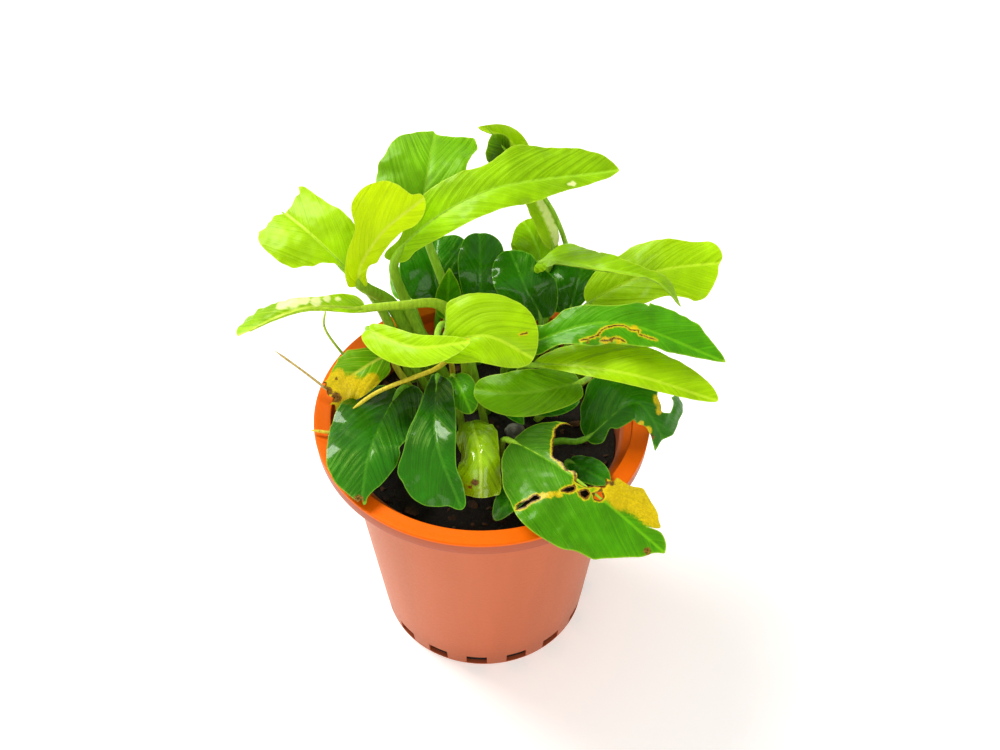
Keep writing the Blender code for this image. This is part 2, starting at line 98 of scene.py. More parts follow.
# Leaves and stems; lengths in millimetres, shares of the blade's length from its base.
LOBE_REACH = 0.4  # share where the margin still runs back towards the base
CURVE_STEPS = 12  # steps between two points of a stalk or midrib
SHOOT_STEPS = 10
STALK_SIDES = 12
MARGIN_STEPS = 60
GRID = 1.3  # spacing of the blade's mesh
LEAF_THICKNESS = 0.38
RIM_SHARE = 0.42  # thickness at the margin, as a share of the blade's
RIB_ROW = 0.9  # distance of the rows of points beside the midrib
RIB_DEPTH = 0.35  # how far the midrib is sunk
RIB_WIDTH = 1.1
RIB_END = 0.9  # share where the midrib's ridge ends below
BUCKLE = 0.35  # height of the small swells between veins
HOLE_RAGGED = (0.3, 0.55)  # how far a hole's outline wanders, and how finely
SCAR_RAGGED = (0.1, 0.8)
TEAR_SEED = 1
SCAR_PALENESS = 0.4  # how much less far than at a hole the paint of a wound spreads
UNHURT = 99.0  # distance given to a place far from any wound
FLAT_SCALE = 0.01  # flat map units for each millimetre
VEIN_LEAN = 1.4  # how the side veins lean towards the tip, then bend
VEIN_BEND = 0.05
RIB_PAINT = (0.9, 0.15)  # distance where the midrib's paint starts, and where it is full
BASE_SHADE_SPAN = (0.75, -0.05)  # share where the painted base shade starts, and where it is full
HALO = 0.8
LEAF_SHINE = 0.4


class Look:
    """Shades of one kind of leaf; fresh and deep are multiples of its green."""

    def __init__(self, slot, green, fresh=1.15, deep=0.7, veins=0.35,
                 vein_colour=(0.45, 0.78, 0.04), rib=0.6, margin=0.35,
                 margin_tint_and_highlight=(0.62, 0.85, 0.08), under_colour=(0.42, 0.70, 0.12),
                 stalk=(0.38, 0.66, 0.05), rough=0.42, relief=0.0008, gloss=0.2, film=0.28):
        self.slot = slot
        self.green = green
        self.fresh = fresh
        self.deep = deep
        self.veins = veins
        self.vein_colour = vein_colour
        self.rib = rib
        self.margin = margin
        self.margin_tint_and_highlight = margin_tint_and_highlight
        self.under_colour = under_colour
        self.stalk = stalk
        self.rough = rough
        self.relief = relief
        self.gloss = gloss
        self.film = film


LOOKS = {
    "young": Look("lime_leaf", "young", fresh=1.06, deep=0.88, veins=0.14,
                  vein_colour=(0.80, 0.92, 0.10)),
    "lime": Look("lime_leaf", "lime", fresh=1.12, deep=0.78, veins=0.16,
                 vein_colour=(0.62, 0.88, 0.05)),
    "bright": Look("bright_leaf", "bright", veins=0.17, vein_colour=(0.45, 0.80, 0.05)),
    "olive": Look("bright_leaf", "olive", veins=0.25, vein_colour=(0.28, 0.55, 0.03)),
    "mid": Look("mid_leaf", "mid", veins=0.25, vein_colour=(0.22, 0.60, 0.01), gloss=0.22,
                film=0.16),
    "dark": Look("dark_leaf", "dark", veins=0.14, vein_colour=(0.10, 0.36, 0.02), rib=0.4,
                 margin=0.45, margin_tint_and_highlight=(0.28, 0.60, 0.05), under_colour=(0.16, 0.40, 0.06),
                 stalk=(0.20, 0.46, 0.03), rough=0.34, gloss=0.5, film=0.12),
    "wet": Look("lime_leaf", "lime", fresh=1.12, deep=0.6, veins=0.16,
                vein_colour=(0.62, 0.88, 0.05), rough=0.3, relief=0.001, gloss=1.0, film=0.08),
    "streaked": Look("lime_leaf", "bright", veins=0.3, vein_colour=(0.80, 0.88, 0.16), rib=0.5,
                     stalk=(0.50, 0.74, 0.05)),
    "dying": Look("yellow_leaf", "olive", veins=0.5, vein_colour=(0.75, 0.75, 0.10), rough=0.45,
                  stalk=(0.62, 0.62, 0.06)),
}


class Leaf:
    """One leaf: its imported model's route, widths and curves, then its surface and damage."""
    made = 0

    def __init__(self, name, stalk, blade, width, face, fold=12, curl=35, shape=(0.5, 0.8),
                 lobe=0.1, end=1.0, radius=1.2, look="bright", wave=(0.8, 2.0, 0.0), lumps=0.8,
                 holes=(), yellow=(), brown=(), sheath=1.0, outline=(), scars=(), pale=(),
                 base_shade=0.0):
        self.name = name
        self.piece = name.replace("leaf_", "") + "_leaf"
        self.stalk = stalk
        self.blade = blade
        self.width = width
        self.face = face
        self.fold = fold
        self.curl = curl
        self.shape = shape
        self.lobe = lobe
        self.end = end
        self.radius = radius
        self.look = look
        self.wave = wave
        self.lumps = lumps
        self.holes = holes
        self.yellow = yellow
        self.brown = brown
        self.sheath = sheath
        self.outline = outline
        self.scars = scars
        self.pale = pale
        self.base_shade = base_shade
        self.seed = Leaf.made
        Leaf.made += 1


# Points are (x, y, z) in millimetres: the stalk from the soil, then the blade's base to its tip.
# width is (left, right) seen from the base with the upper face up; face is the way the upper face
# looks at the base and at the tip; fold and curl are degrees, for both halves or (left, right).
# radius is the stalk's, and sheath is its flatness, 1 for a round one. wave is the height, number
# and start of the margin's ripples, and lumps the height of the blade's swells. The base shade is
# painted shade: how much darker the blade is painted towards its base.
# On the flat blade, in millimetres along and across from the base: outline is the margin where it
# isn't a plain one, with a corner named twice; holes are closed outlines; scars are (line, width),
# with a width of 0 along a bitten margin; yellow, brown and pale are (along, across, radius).
LEAVES = [
    # The crown, high up.
    Leaf("leaf_top_long", [(-14, 31, 96.3), (-30, 44, 130)],
         [(-31, 42, 158), (2, 50, 180), (52, 62, 180)],
         (18, 9), ((0.2, -0.4, 0.8), (0, -0.3, 1)), fold=12, curl=20, look="bright",
         wave=(1.2, 2.0, 0.2), lumps=1.2, radius=1.9,
         outline=((-6, 3), (-3, 4), (3, 3), (7, 4), (11, 6), (15, 8), (20, 10), (26, 11),
                  (32, 11), (37, 11), (42, 10), (47, 11), (51, 13), (55, 15), (60, 16), (65, 15),
                  (70, 14), (75, 13), (80, 12), (85, 10), (89, 8), (92, 5), (94, 2), (95, 0),
                  (95, 0), (90, -3), (86, -4), (81, -5), (76, -6), (70, -7), (65, -8), (60, -9),
                  (50, -9), (40, -9), (30, -9), (20, -8), (15, -7), (10, -6), (5, -5), (1, -5),
                  (-2, -4), (-5, -1)),
         pale=((75, -4, 1.3), (73.5, -4, 0.8))),
    Leaf("leaf_top_back", [(-6, 40, 96.3), (-14, 50, 130)],
         [(-22, 58, 158), (-20, 74, 172), (-17, 96, 175)],
         (21, 20), ((0, -0.5, 0.9), (0, -0.3, 1)), fold=8, curl=15, look="olive",
         wave=(1.5, 1.5, 0.1), lumps=1.5, radius=1.7, base_shade=0.2,
         outline=((0, 0), (-2, 4), (-1, 9), (3, 14), (8, 18), (15, 20), (19, 20), (23, 20),
                  (27, 18), (31, 17), (35, 15), (38, 13), (40, 10), (42, 7), (43, 3), (44, 1),
                  (44, 1), (42, -1), (41, -4), (41, -8), (42, -12), (42, -16), (42, -16),
                  (38, -18), (34, -17), (29, -16), (24, -15), (18, -16), (12, -17), (6, -15),
                  (1, -10), (-1, -5))),
    Leaf("leaf_yellow_young", [(-22, 36, 96.3), (-35, 45, 126)],
         [(-47, 37, 148), (-38, 42, 166), (-21, 45, 181)],
         (19, 7), ((0.1, -0.8, 0.5), (0.1, -0.7, 0.6)), fold=6, curl=10, radius=2.6, sheath=0.45,
         look="young", wave=(0.5, 1.0, 0.0), lumps=0.6,
         outline=((-3, -3), (-3, 0), (-3, 4), (1, 5), (6, 6), (10, 7), (15, 8), (18, 9), (20, 11),
                  (22, 14), (24, 16), (27, 17), (30, 17), (33, 16), (37, 14), (40, 10), (41, 7),
                  (42, 4), (45, 2), (44, -2), (40, -5), (35, -6), (30, -5), (26, -5), (18, -5),
                  (14, -5), (11, -5), (8, -3), (3, -3))),
    Leaf("leaf_notched", [(-28, 32, 96.3), (-40, 44, 126)],
         [(-51, 44, 146), (-66, 56, 155), (-87, 78, 157)],
         (15, 16), ((0, -0.4, 0.9), (0, -0.4, 0.9)), fold=12, curl=20, end=0.85, radius=1.7,
         look="lime", wave=(1.0, 1.5, 0.3), lumps=1.0,
         outline=((0, 0), (3, 1), (6, 2), (8, 4), (10, 6), (11, 9), (12, 10), (14, 12), (16, 15),
                  (19, 16), (22, 17), (26, 17), (30, 17), (35, 16), (39, 13), (39, 13), (38, 10),
                  (39, 8), (39, 6), (40, 4), (39, 2), (38, 0), (38, -2), (38, -4), (39, -6),
                  (40, -8), (40, -10), (43, -12), (43, -12), (41, -14), (36, -14), (31, -14),
                  (26, -14), (21, -15), (17, -15), (14, -15), (10, -14), (5, -12), (1, -8),
                  (0, -3))),
    Leaf("leaf_left_thin", [(-4, 16, 96.3), (-7, 24, 128), (-15, 21, 149), (-30, 17, 153)],
         [(-44, 19, 150), (-67, 15, 154), (-91, 9, 146)],
         (3, 4), ((0, -0.7, 0.7), (-0.3, 0.3, 0.9)), fold=20, curl=20, radius=2.2, sheath=0.4,
         look="streaked", wave=(0.2, 1.0, 0.0), lumps=0.2,
         outline=((0, 1), (0, -2), (2, -4), (5, -5), (10, -5), (15, -4), (20, -4), (25, -5),
                  (30, -6), (35, -8), (40, -9), (45, -9), (48, -7), (50, -3), (50, 0), (50, 0),
                  (45, 0), (40, 1), (35, 1), (30, 1), (25, 1), (20, 1), (15, 1), (10, 2), (5, 2)),
         pale=((10, -3, 1), (14, -3, 1.5), (18, -2, 2), (22, -3, 2), (26, -3, 2.5), (30, -4, 2.5))),
    Leaf("leaf_hooked", [(15, 44, 96.3), (17, 48, 112), (26, 61, 126)],
         [(30, 66, 138), (22, 75, 157), (14, 83, 177), (1, 85, 184)],
         (5, 4), ((0.3, -0.9, 0.3), (0.3, -0.5, 0.8)), fold=20, curl=0, look="lime",
         wave=(0.2, 1.0, 0.0), lumps=0.2,
         outline=((0, 0), (1, 3), (6, 5), (15, 5), (25, 5), (35, 5), (43, 4), (48, 2), (54, 1),
                  (60, 1), (62, 0), (62, 0), (59, -2), (54, -4), (48, -5), (40, -5), (30, -5),
                  (20, -4), (10, -4), (3, -3)),
         # painted highlight: this pale stripe along the midrib stands for the glint on the folded
         # blade's inner face
         pale=((2, -2, 2), (5, -2, 2), (8, -2, 2), (11, -2, 2), (14, -2, 2), (17, -2, 2),
               (20, -2, 2))),
    Leaf("leaf_cupped",
         [(22, 40, 96.3), (25, 45, 112), (36, 64, 128), (31, 70, 150), (19, 70, 172)],
         [(10, 73, 183), (3, 73, 194)],
         (5, 5), ((0, -0.8, 0.6), (0, -0.8, 0.6)), fold=20, curl=-8, radius=0.9, look="olive",
         wave=(0.2, 1.0, 0.0), lumps=0.5, base_shade=0.75,
         outline=((-3, 2), (-3, 6), (-1, 9), (3, 10), (5, 9), (7, 5), (8, 2), (8, 0), (6, -3),
                  (3, -4), (0, -3), (-2, -1))),
    # The middle tier, in front.
    Leaf("leaf_front_round", [(1, 8, 96.3), (-5, 16, 128), (-14, 15, 145)],
         [(-15, 0, 150), (2, -3, 156), (19, -9, 150)],
         (17, 10), ((0, -0.5, 0.8), (0, -0.5, 0.8)), fold=8, curl=25, shape=(0.5, 0.5),
         look="lime", wave=(0.8, 1.5, 0.0), lumps=0.8,
         scars=((((10, -1), (11, -1), (11.5, -1)), 0.8), (((31, 7), (30, 6), (29, 5)), 0.2)),
         brown=((31, 7, 0.7),)),
    Leaf("leaf_front_band", [(-18, 18, 96.3), (-32, 18, 132)],
         [(-43, 13, 145), (-25, -1, 149), (-4, -10, 160)],
         (5, 8), ((0, -0.5, 0.8), (0, -0.5, 0.8)), fold=4, curl=10, shape=(0.4, 0.6), lobe=0,
         look="lime", wave=(0.3, 1.0, 0.0), lumps=0.3),
    Leaf("leaf_right_upper", [(8, 22, 96.3), (10, 14, 128)],
         [(18, 2, 147), (49, 0, 159), (89, -10, 148)],
         (11, 7), ((0, -0.3, 0.9), (0, -0.3, 0.9)), fold=10, curl=20, look="mid",
         wave=(1.0, 2.0, 0.5), lumps=1.0, base_shade=0.3,
         outline=((0, 0), (0, 4), (1, 6), (4, 6), (8, 5), (12, 6), (16, 8), (19, 8), (22, 8),
                  (28, 7), (34, 7), (37, 8), (40, 10), (43, 11), (44, 10), (44, 12), (44, 12),
                  (48, 12), (52, 12), (58, 11), (62, 10), (64, 9), (67, 7), (72, 4), (75, 2),
                  (77, 0), (77, 0), (74, -1), (70, -2), (66, -3), (62, -4), (58, -5), (55, -6),
                  (50, -6), (47, -7), (38, -8), (32, -8), (25, -9), (18, -7), (11, -5), (3, -6),
                  (0, -3)),
         scars=((((20, -6), (23, -6), (27, -5), (29, -3), (32, -2), (35, -1), (38, -1), (40, -2),
                (43, -1)), 0.35), (((43, -3), (46, -3), (50, -3)), 0.4), (((28, -7), (31, -7),
                (35, -6), (39, -7)), 0.4)),
         yellow=((41, -1, 1.6), (30, -7, 1.6), (36, -7, 1.4)), brown=((33, -7, 1), (23, -7, 1))),
    Leaf("leaf_right_lower", [(16, 12, 96.3), (14, 6, 122)],
         [(19, -1, 139), (52, -14, 147), (86, -21, 139)],
         (13, 4), ((0, -0.3, 0.9), (0, -0.3, 0.9)), fold=4, curl=20, shape=(0.7, 0.6), lobe=0,
         look="lime", wave=(0.5, 1.5, 0.5), lumps=0.5),
    Leaf("leaf_arching", [(16, 31, 96.3), (20, 42, 113), (25, 51, 130)],
         [(25, 48, 147), (45, 31, 158), (66, 27, 155), (78, 25, 142)],
         (13, 2), ((0, -0.2, 1), (0.4, -0.2, 0.8)), fold=0, curl=10, look="bright",
         wave=(0.6, 1.5, 0.5), lumps=0.6,
         outline=((-5, -4), (-5, -1), (-2, 3), (-1, 7), (1, 10), (4, 12), (7, 12), (11, 11),
                  (18, 10), (24, 9), (32, 8), (38, 6), (43, 5), (48, 4), (53, 5), (57, 5),
                  (61, 4), (64, 2), (68, 0), (68, 0), (64, -1), (58, -1), (50, 0), (42, -1),
                  (36, -1), (30, -1), (22, -2), (13, -3), (4, -4))),
    Leaf("leaf_far_right", [(28, 26, 96.3), (37, 37, 118)],
         [(43, 42, 129), (68, 47, 141), (96, 49, 144)],
         (13, 13), ((0, -0.3, 0.9), (0, -0.3, 0.9)), fold=6, curl=15, look="lime",
         wave=(1.2, 1.5, 0.2), lumps=1.2,
         outline=((0, 0), (0, 3), (2, 6), (6, 9), (10, 11), (15, 12), (19, 13), (23, 15),
                  (26, 15), (30, 14), (34, 13), (39, 12), (45, 11), (51, 11), (54, 10), (56, 8),
                  (57, 5), (57, 2), (55, -1), (54, -5), (52, -9), (50, -12), (48, -14), (45, -15),
                  (43, -15), (41, -14), (37, -13), (32, -12), (26, -12), (22, -12), (16, -10),
                  (12, -9), (6, -7), (3, -6), (1, -3))),
    # The dark leaves behind the middle tier.
    Leaf("leaf_centre_left", [(-16, 46, 96.3), (-18, 50, 110)],
         [(-17, 52, 122), (-19, 61, 133), (-18, 73, 137)],
         (13, 12), ((0, -0.8, 0.6), (0, -0.6, 0.8)), fold=8, curl=15, look="dark",
         wave=(0.6, 1.5, 0.2), lumps=0.8, base_shade=0.4,
         outline=((0, 0), (0, 6), (2, 10), (7, 13), (13, 14), (19, 13), (24, 9), (27, 4),
                  (29, -2), (30, -8), (28, -12), (24, -15), (18, -16), (11, -16), (5, -14),
                  (1, -9), (-1, -4))),
    Leaf("leaf_centre", [(-1, 42, 96.3), (0, 45, 112)],
         [(0, 46, 126), (0, 54, 138), (0, 70, 143)],
         (9, 10), ((0, -0.8, 0.6), (0, -0.6, 0.8)), fold=8, curl=15, shape=(0.5, 0.4),
         look="dark", wave=(0.6, 1.5, 0.6), lumps=0.8),
    Leaf("leaf_centre_right", [(10, 36, 96.3), (21, 33, 112)],
         [(24, 38, 125), (18, 44, 136), (13, 56, 142)],
         (8, 10), ((0, -0.8, 0.6), (0, -0.6, 0.8)), fold=8, curl=15, look="dark",
         wave=(0.6, 1.5, 0.2), lumps=0.8, base_shade=0.3,
         outline=((0, 0), (0, 5), (3, 8), (8, 10), (14, 11), (20, 11), (26, 10), (30, 7), (32, 3),
                  (31, -2), (28, -6), (25, -8), (20, -9), (16, -11), (11, -12), (7, -11), (3, -8),
                  (0, -4))),
    Leaf("leaf_under_arch", [(24, 32, 96.3), (31, 40, 109)],
         [(36, 48, 118), (39, 54, 127), (43, 63, 136)],
         (6, 15), ((0, -0.8, 0.6), (0, -0.6, 0.8)), fold=8, curl=15, look="dark",
         wave=(0.6, 1.5, 0.8), lumps=0.8, base_shade=0.2,
         outline=((0, 0), (-1, 6), (1, 11), (6, 15), (13, 16), (19, 15), (24, 11), (25, 5),
                  (25, -2), (23, -7), (21, -9), (17, -9), (13, -8), (9, -6), (5, -4), (1, -2))),
    Leaf("leaf_pale_behind", [(7, 47, 96.3), (10, 51, 112)],
         [(24, 69, 126), (22, 76, 135), (18, 82, 139)],
         (10, 9), ((0, -0.8, 0.6), (0, -0.6, 0.8)), fold=8, curl=15, shape=(0.5, 0.5),
         look="bright", wave=(0.6, 1.5, 0.2), lumps=0.6),
    Leaf("leaf_spike", [(-9, 48, 96.3), (-12, 44, 108)],
         [(-14, 44, 120), (-13, 44, 134), (-12, 43, 148)],
         (5, 6), ((0, -0.9, 0.4), (0, -0.9, 0.4)), fold=12, curl=10, shape=(0.5, 0.9), lobe=0,
         look="mid", wave=(0.3, 1.5, 0.2), lumps=0.3),
    # The lower tier, near the rim.
    Leaf("leaf_pale_low", [(22, 10, 96.3), (40, 10, 118)],
         [(37, -2, 130), (16, -10, 133), (-3, -3, 128)],
         (9, 9), ((0, -0.5, 0.9), (0, -0.5, 0.9)), fold=4, curl=20, shape=(0.5, 0.45),
         look="olive", wave=(0.6, 1.5, 0.3), lumps=0.8, base_shade=0.2),
    Leaf("leaf_front_left", [(-24, 8, 96.3), (-28, 10, 114)],
         [(-33, 3, 119), (-41, -28, 124), (-44, -47, 117)],
         (15, 17), ((0, -0.3, 0.9), (0, -0.6, 0.8)), fold=4, curl=20, look="dark",
         wave=(1.2, 2.0, 0.3), lumps=1.6, base_shade=0.75,
         outline=((-3, 0), (-6, 1), (-9, 3), (-9, 6), (-5, 9), (-1, 10), (7, 11), (14, 12),
                  (20, 12), (26, 11), (30, 10), (32, 11), (37, 11), (40, 10), (44, 8), (47, 6),
                  (49, 4), (52, 2), (54, 2), (55, 1), (55, 1), (53, 0), (54, -1), (54, -1),
                  (53, -3), (51, -6), (48, -10), (45, -12), (42, -14), (39, -15), (35, -16),
                  (31, -17), (25, -18), (19, -18), (16, -17), (12, -17), (7, -15), (2, -12),
                  (-3, -8), (-4, -3)),
         brown=((53, -1, 2),)),
    Leaf("leaf_front_middle", [(-14, 6, 96.3), (-16, 8, 116)],
         [(-17, 3, 128), (-17, -28, 128), (-8, -50, 115)],
         (9, 16), ((0, -0.5, 0.9), (0, -0.8, 0.6)), fold=8, curl=20, look="dark",
         wave=(1.0, 2.0, 0.1), lumps=1.6, base_shade=0.8,
         outline=((-2, 1), (1, 4), (5, 6), (11, 7), (18, 8), (26, 8), (34, 7), (41, 5), (45, 4),
                  (50, 4), (55, 3), (58, 2), (59, 0), (58, -2), (56, -4), (55, -7), (53, -11),
                  (51, -13), (48, -15), (44, -16), (42, -16), (38, -17), (32, -12), (27, -10),
                  (21, -7), (14, -5), (8, -4), (3, -3), (-2, -2))),
    Leaf("leaf_glossy_small", [(-4, -4, 96.3), (-4, -8, 108)],
         [(-4, -12, 118), (-1, -31, 121), (-1, -42, 110)],
         (7, 6), ((0, -0.3, 0.9), (0, -0.9, 0.4)), fold=4, curl=30, look="wet",
         wave=(0.6, 1.0, 0.1), lumps=2.0,
         outline=((-4, 0), (-3, 4), (2, 7), (8, 8), (14, 8), (20, 8), (26, 8), (31, 8), (34, 7),
                  (34, 7), (35, 0), (34, -7), (34, -7), (28, -8), (20, -9), (12, -9), (5, -8),
                  (0, -6), (-3, -3)),
         brown=((29, -2, 1.6), (31, -4, 1.2))),
    Leaf("leaf_bitten", [(8, -10, 96.3), (7, -18, 112)],
         [(11, -25, 123), (33, -50, 131), (62, -75, 121)],
         (17, 24), ((0, -0.3, 0.9), (0.2, -0.3, 0.9)), fold=4, curl=20, look="mid",
         wave=(1.2, 2.0, 0.1), lumps=1.2, base_shade=0.6,
         outline=((0, 0), (1, 6), (3, 10), (7, 13), (11, 16), (15, 18), (15, 18), (12, 15),
                  (12, 12), (14, 10), (15, 8), (18, 5), (21, 2), (24, 2), (26, 2), (28, 1),
                  (30, 1), (32, 2), (34, 1), (35, -1), (37, -1), (39, 0), (41, 2), (44, 4),
                  (42, 7), (42, 7), (45, 8), (45, 10), (50, 11), (54, 14), (57, 13), (63, 11),
                  (66, 8), (68, 6), (64, 3), (64, 3), (69, 5), (73, 3), (75, 0), (75, 0),
                  (72, -3), (70, -7), (67, -10), (64, -13), (60, -17), (58, -19), (54, -20),
                  (51, -21), (48, -23), (44, -24), (38, -25), (33, -25), (28, -24), (21, -21),
                  (14, -18), (8, -13), (2, -7)),
         holes=(((34, -7), (35, -4), (36, -3), (37, -4), (36, -6)), ((39, -3), (40, -1), (42, -2),
                (42, -4), (40, -4)), ((43, 0), (44, 2), (46, 1), (46, -1), (44, -2)), ((25, -21),
                (26, -19), (27, -17), (28, -14), (30, -14), (29, -16), (28, -18), (28, -20),
                (26, -22))),
         scars=((((15, 18), (12, 15), (12, 12), (14, 10), (15, 8), (18, 5), (21, 2), (24, 2),
                (28, 1), (32, 2), (35, -1), (39, 0), (41, 2), (44, 4), (42, 7)), 0),),
         yellow=((46, 5, 5), (50, 7, 6), (54, 9, 7), (58, 9, 6), (62, 8, 5), (65, 7, 3),
                 (51, 4, 4), (34, -9, 1.5), (32, -11, 1.5), (30, -13, 1.5)),
         brown=((70, -4, 1.6), (45, 7, 1.4), (43, 5, 1.4), (14, 16, 1.5), (35, 0, 1.4),
                (29, 1, 1.2))),
    Leaf("leaf_holed", [(17, -6, 96.3), (29, -14, 110)],
         [(39, -18, 116), (57, -13, 130), (70, -20, 113)],
         (15, 6), ((0, -0.4, 0.9), (0.3, -0.4, 0.8)), fold=6, curl=20, look="dark",
         wave=(1.0, 1.5, 0.4), lumps=1.2, base_shade=0.3,
         outline=((0, 0), (0, 5), (3, 8), (6, 11), (10, 13), (14, 16), (18, 16), (22, 15),
                  (25, 13), (28, 9), (29, 7), (32, 6), (34, 5), (36, 7), (37, 9), (35, 12),
                  (33, 12), (33, 12), (34, 15), (38, 17), (41, 16), (43, 11), (44, 9), (45, 5),
                  (44, 2), (43, -2), (44, -6), (44, -6), (41, -5), (38, -4), (34, -4), (31, -6),
                  (24, -6), (18, -6), (12, -5), (10, -3), (7, -4), (4, -5), (1, -3)),
         yellow=((30, 6, 2), (33, 4, 1.5), (36, -4, 1.8), (32, -5, 1.5)), brown=((39, -4, 1.4),)),
    Leaf("leaf_yellowed", [(-22, 14, 96.3), (-32, 14, 120)],
         [(-36, 13, 130), (-46, 5, 131), (-58, 3, 121)],
         (7, 12), ((0, -0.4, 0.9), (0, -0.4, 0.9)), fold=4, curl=20, look="dying",
         wave=(0.8, 1.5, 0.4), lumps=1.2,
         outline=((0, 0), (1, 4), (4, 7), (9, 8), (14, 9), (18, 9), (24, 8), (27, 8), (31, 7),
                  (31, 7), (30, 5), (32, 4), (32, 4), (29, 3), (31, 0), (30, -2), (31, -3),
                  (29, -4), (31, -5), (31, -5), (28, -5), (26, -6), (23, -8), (21, -9), (20, -10),
                  (17, -10), (14, -10), (10, -8), (5, -6), (1, -4)),
         yellow=((21, 4, 6), (26, 1, 6), (27, 6, 5), (17, 6, 4), (23, -3, 3.5), (28, -4, 4),
                 (12, 6, 3)),
         brown=((28, 3, 2.5), (30, -1, 2), (30, -4, 1.5), (24, -3, 1.2))),
    Leaf("leaf_under_pale", [(12, 18, 96.3), (16, 14, 104)],
         [(19, 9, 108), (29, 6, 112), (38, 4, 113)],
         (8, 7), ((0, -0.4, 0.9), (0, -0.4, 0.9)), fold=6, curl=20, shape=(0.5, 0.6),
         look="dark", wave=(0.5, 1.5, 0.4), lumps=0.6),
    Leaf("leaf_under_round", [(-8, 4, 96.3), (-10, 11, 112)],
         [(-11, 10, 122), (-8, -1, 126), (-4, -10, 122)],
         (6, 6), ((0, -0.5, 0.9), (0, -0.7, 0.7)), fold=6, curl=20, shape=(0.5, 0.5), lobe=0,
         look="mid", wave=(0.3, 1.0, 0.4), lumps=0.4, base_shade=0.3),
    Leaf("leaf_low_front", [(20, -18, 96.3), (20, -24, 102)],
         [(18, -28, 105), (9, -41, 108), (4, -47, 104)],
         (5, 5), ((0, -0.5, 0.9), (0, -0.5, 0.9)), fold=6, curl=20, shape=(0.5, 0.6), lobe=0,
         look="dark", wave=(0.3, 1.0, 0.4), lumps=0.4),
    Leaf("leaf_under_bitten", [(33, -22, 96.3), (32, -20, 101)],
         [(33, -19, 104), (38, -28, 110), (46, -41, 117)],
         (6, 5), ((0, -0.5, 0.9), (0, -0.5, 0.9)), fold=6, curl=20, shape=(0.5, 0.6), lobe=0,
         look="dark", wave=(0.3, 1.0, 0.4), lumps=0.4),
    Leaf("leaf_small_tip", [(2, 14, 96.3), (4, 12, 110)],
         [(7, 6, 115), (10, -1, 117), (16, -8, 113)],
         (4, 4), ((0, -0.5, 0.9), (0, -0.5, 0.9)), fold=6, curl=20, shape=(0.5, 0.8), lobe=0,
         look="dark", wave=(0.3, 1.0, 0.4), lumps=0.3),
    # Low leaves at the back.
    Leaf("leaf_back_left", [(-22, 44, 96.3), (-24, 46, 110)],
         [(-28, 55, 120), (-28, 71, 122), (-28, 84, 109)],
         (10, 10), ((0, 0.2, 1), (0, 0.6, 0.8)), fold=8, curl=20, shape=(0.5, 0.5), look="mid",
         wave=(1.0, 1.5, 0.4), lumps=1.0),
    Leaf("leaf_back_middle", [(0, 50, 96.3), (0, 52, 113)],
         [(0, 58, 119), (2, 75, 121), (4, 90, 107)],
         (12, 12), ((0, 0.2, 1), (0, 0.6, 0.8)), fold=8, curl=20, shape=(0.5, 0.5), look="mid",
         wave=(1.0, 1.5, 0.7), lumps=1.0),
    Leaf("leaf_back_right", [(38, 26, 96.3), (42, 31, 108), (46, 37, 116)],
         [(51, 44, 117), (57, 55, 116), (60, 62, 103)],
         (8, 8), ((0, 0.2, 1), (0, 0.6, 0.8)), fold=8, curl=20, shape=(0.5, 0.5), look="dark",
         wave=(0.8, 1.5, 0.2), lumps=0.8),
]


class Shoot:
    """A stem, bare stalk or root: its route and radii, then its kind of skin and its knots."""
    made = 0

    def __init__(self, name, route, radii, skin, knots=0.0):
        self.name = name
        self.piece = name + "_grown"
        self.route = route
        self.radii = radii
        self.slot, self.dark, self.light, self.end = SKINS[skin]
        self.knots = knots
        self.seed = Shoot.made
        Shoot.made += 1


# Each skin's slot, then its dark shade, its light shade and the shade it turns to at its end.
SKINS = {
    "stem": ("vine_stem", (0.11, 0.13, 0.03), (0.30, 0.40, 0.07), (0.34, 0.52, 0.05)),
    "yellow": ("yellow_leaf", (0.55, 0.42, 0.02), (0.88, 0.78, 0.06), (0.80, 0.62, 0.04)),
    "bright": ("bright_leaf", (0.22, 0.48, 0.02), (0.46, 0.72, 0.05), (0.62, 0.66, 0.08)),
    "straw": ("dry_stem", (0.28, 0.16, 0.05), (0.62, 0.46, 0.16), (0.50, 0.36, 0.12)),
}

SHOOTS = [
    Shoot("vine_left", [(-22, 26, 96.3), (-25, 26, 108), (-23, 28, 119)], (2.6, 2.0), "stem", 0.25),
    Shoot("vine_centre", [(-6, 31, 96.3), (-4, 31, 110), (-6, 33, 125)], (2.6, 1.9), "stem", 0.25),
    Shoot("vine_right", [(19, 23, 96.3), (20, 22, 106), (18, 22, 116)], (2.6, 2.0), "stem", 0.25),
    Shoot("old_stalk", [(-12, 19, 96.3), (-12, 17, 122), (-19, 2, 133), (-38, -6, 131),
                        (-48, -13, 129)], (1.2, 0.7), "yellow"),
    Shoot("stalk_on_rim", [(-38, -14, 96.3), (-49, -13, 108), (-55, -13, 114.5), (-65, -11, 115)],
          (0.9, 0.6), "yellow"),
    Shoot("aerial_root", [(-38, 18, 96.3), (-49, 19, 116), (-60, 24, 133), (-60, 28, 141)],
          (0.7, 0.4), "bright"),
    Shoot("dried_tendril", [(-42, 2, 96.3), (-50, 3, 110), (-57, 5, 117), (-69, 14, 121),
                            (-81, 23, 124)], (0.8, 0.4), "straw", 0.15),
]


def mm(values):
    """Turn millimetres into a vector in metres."""
    return Vector(values) * MM


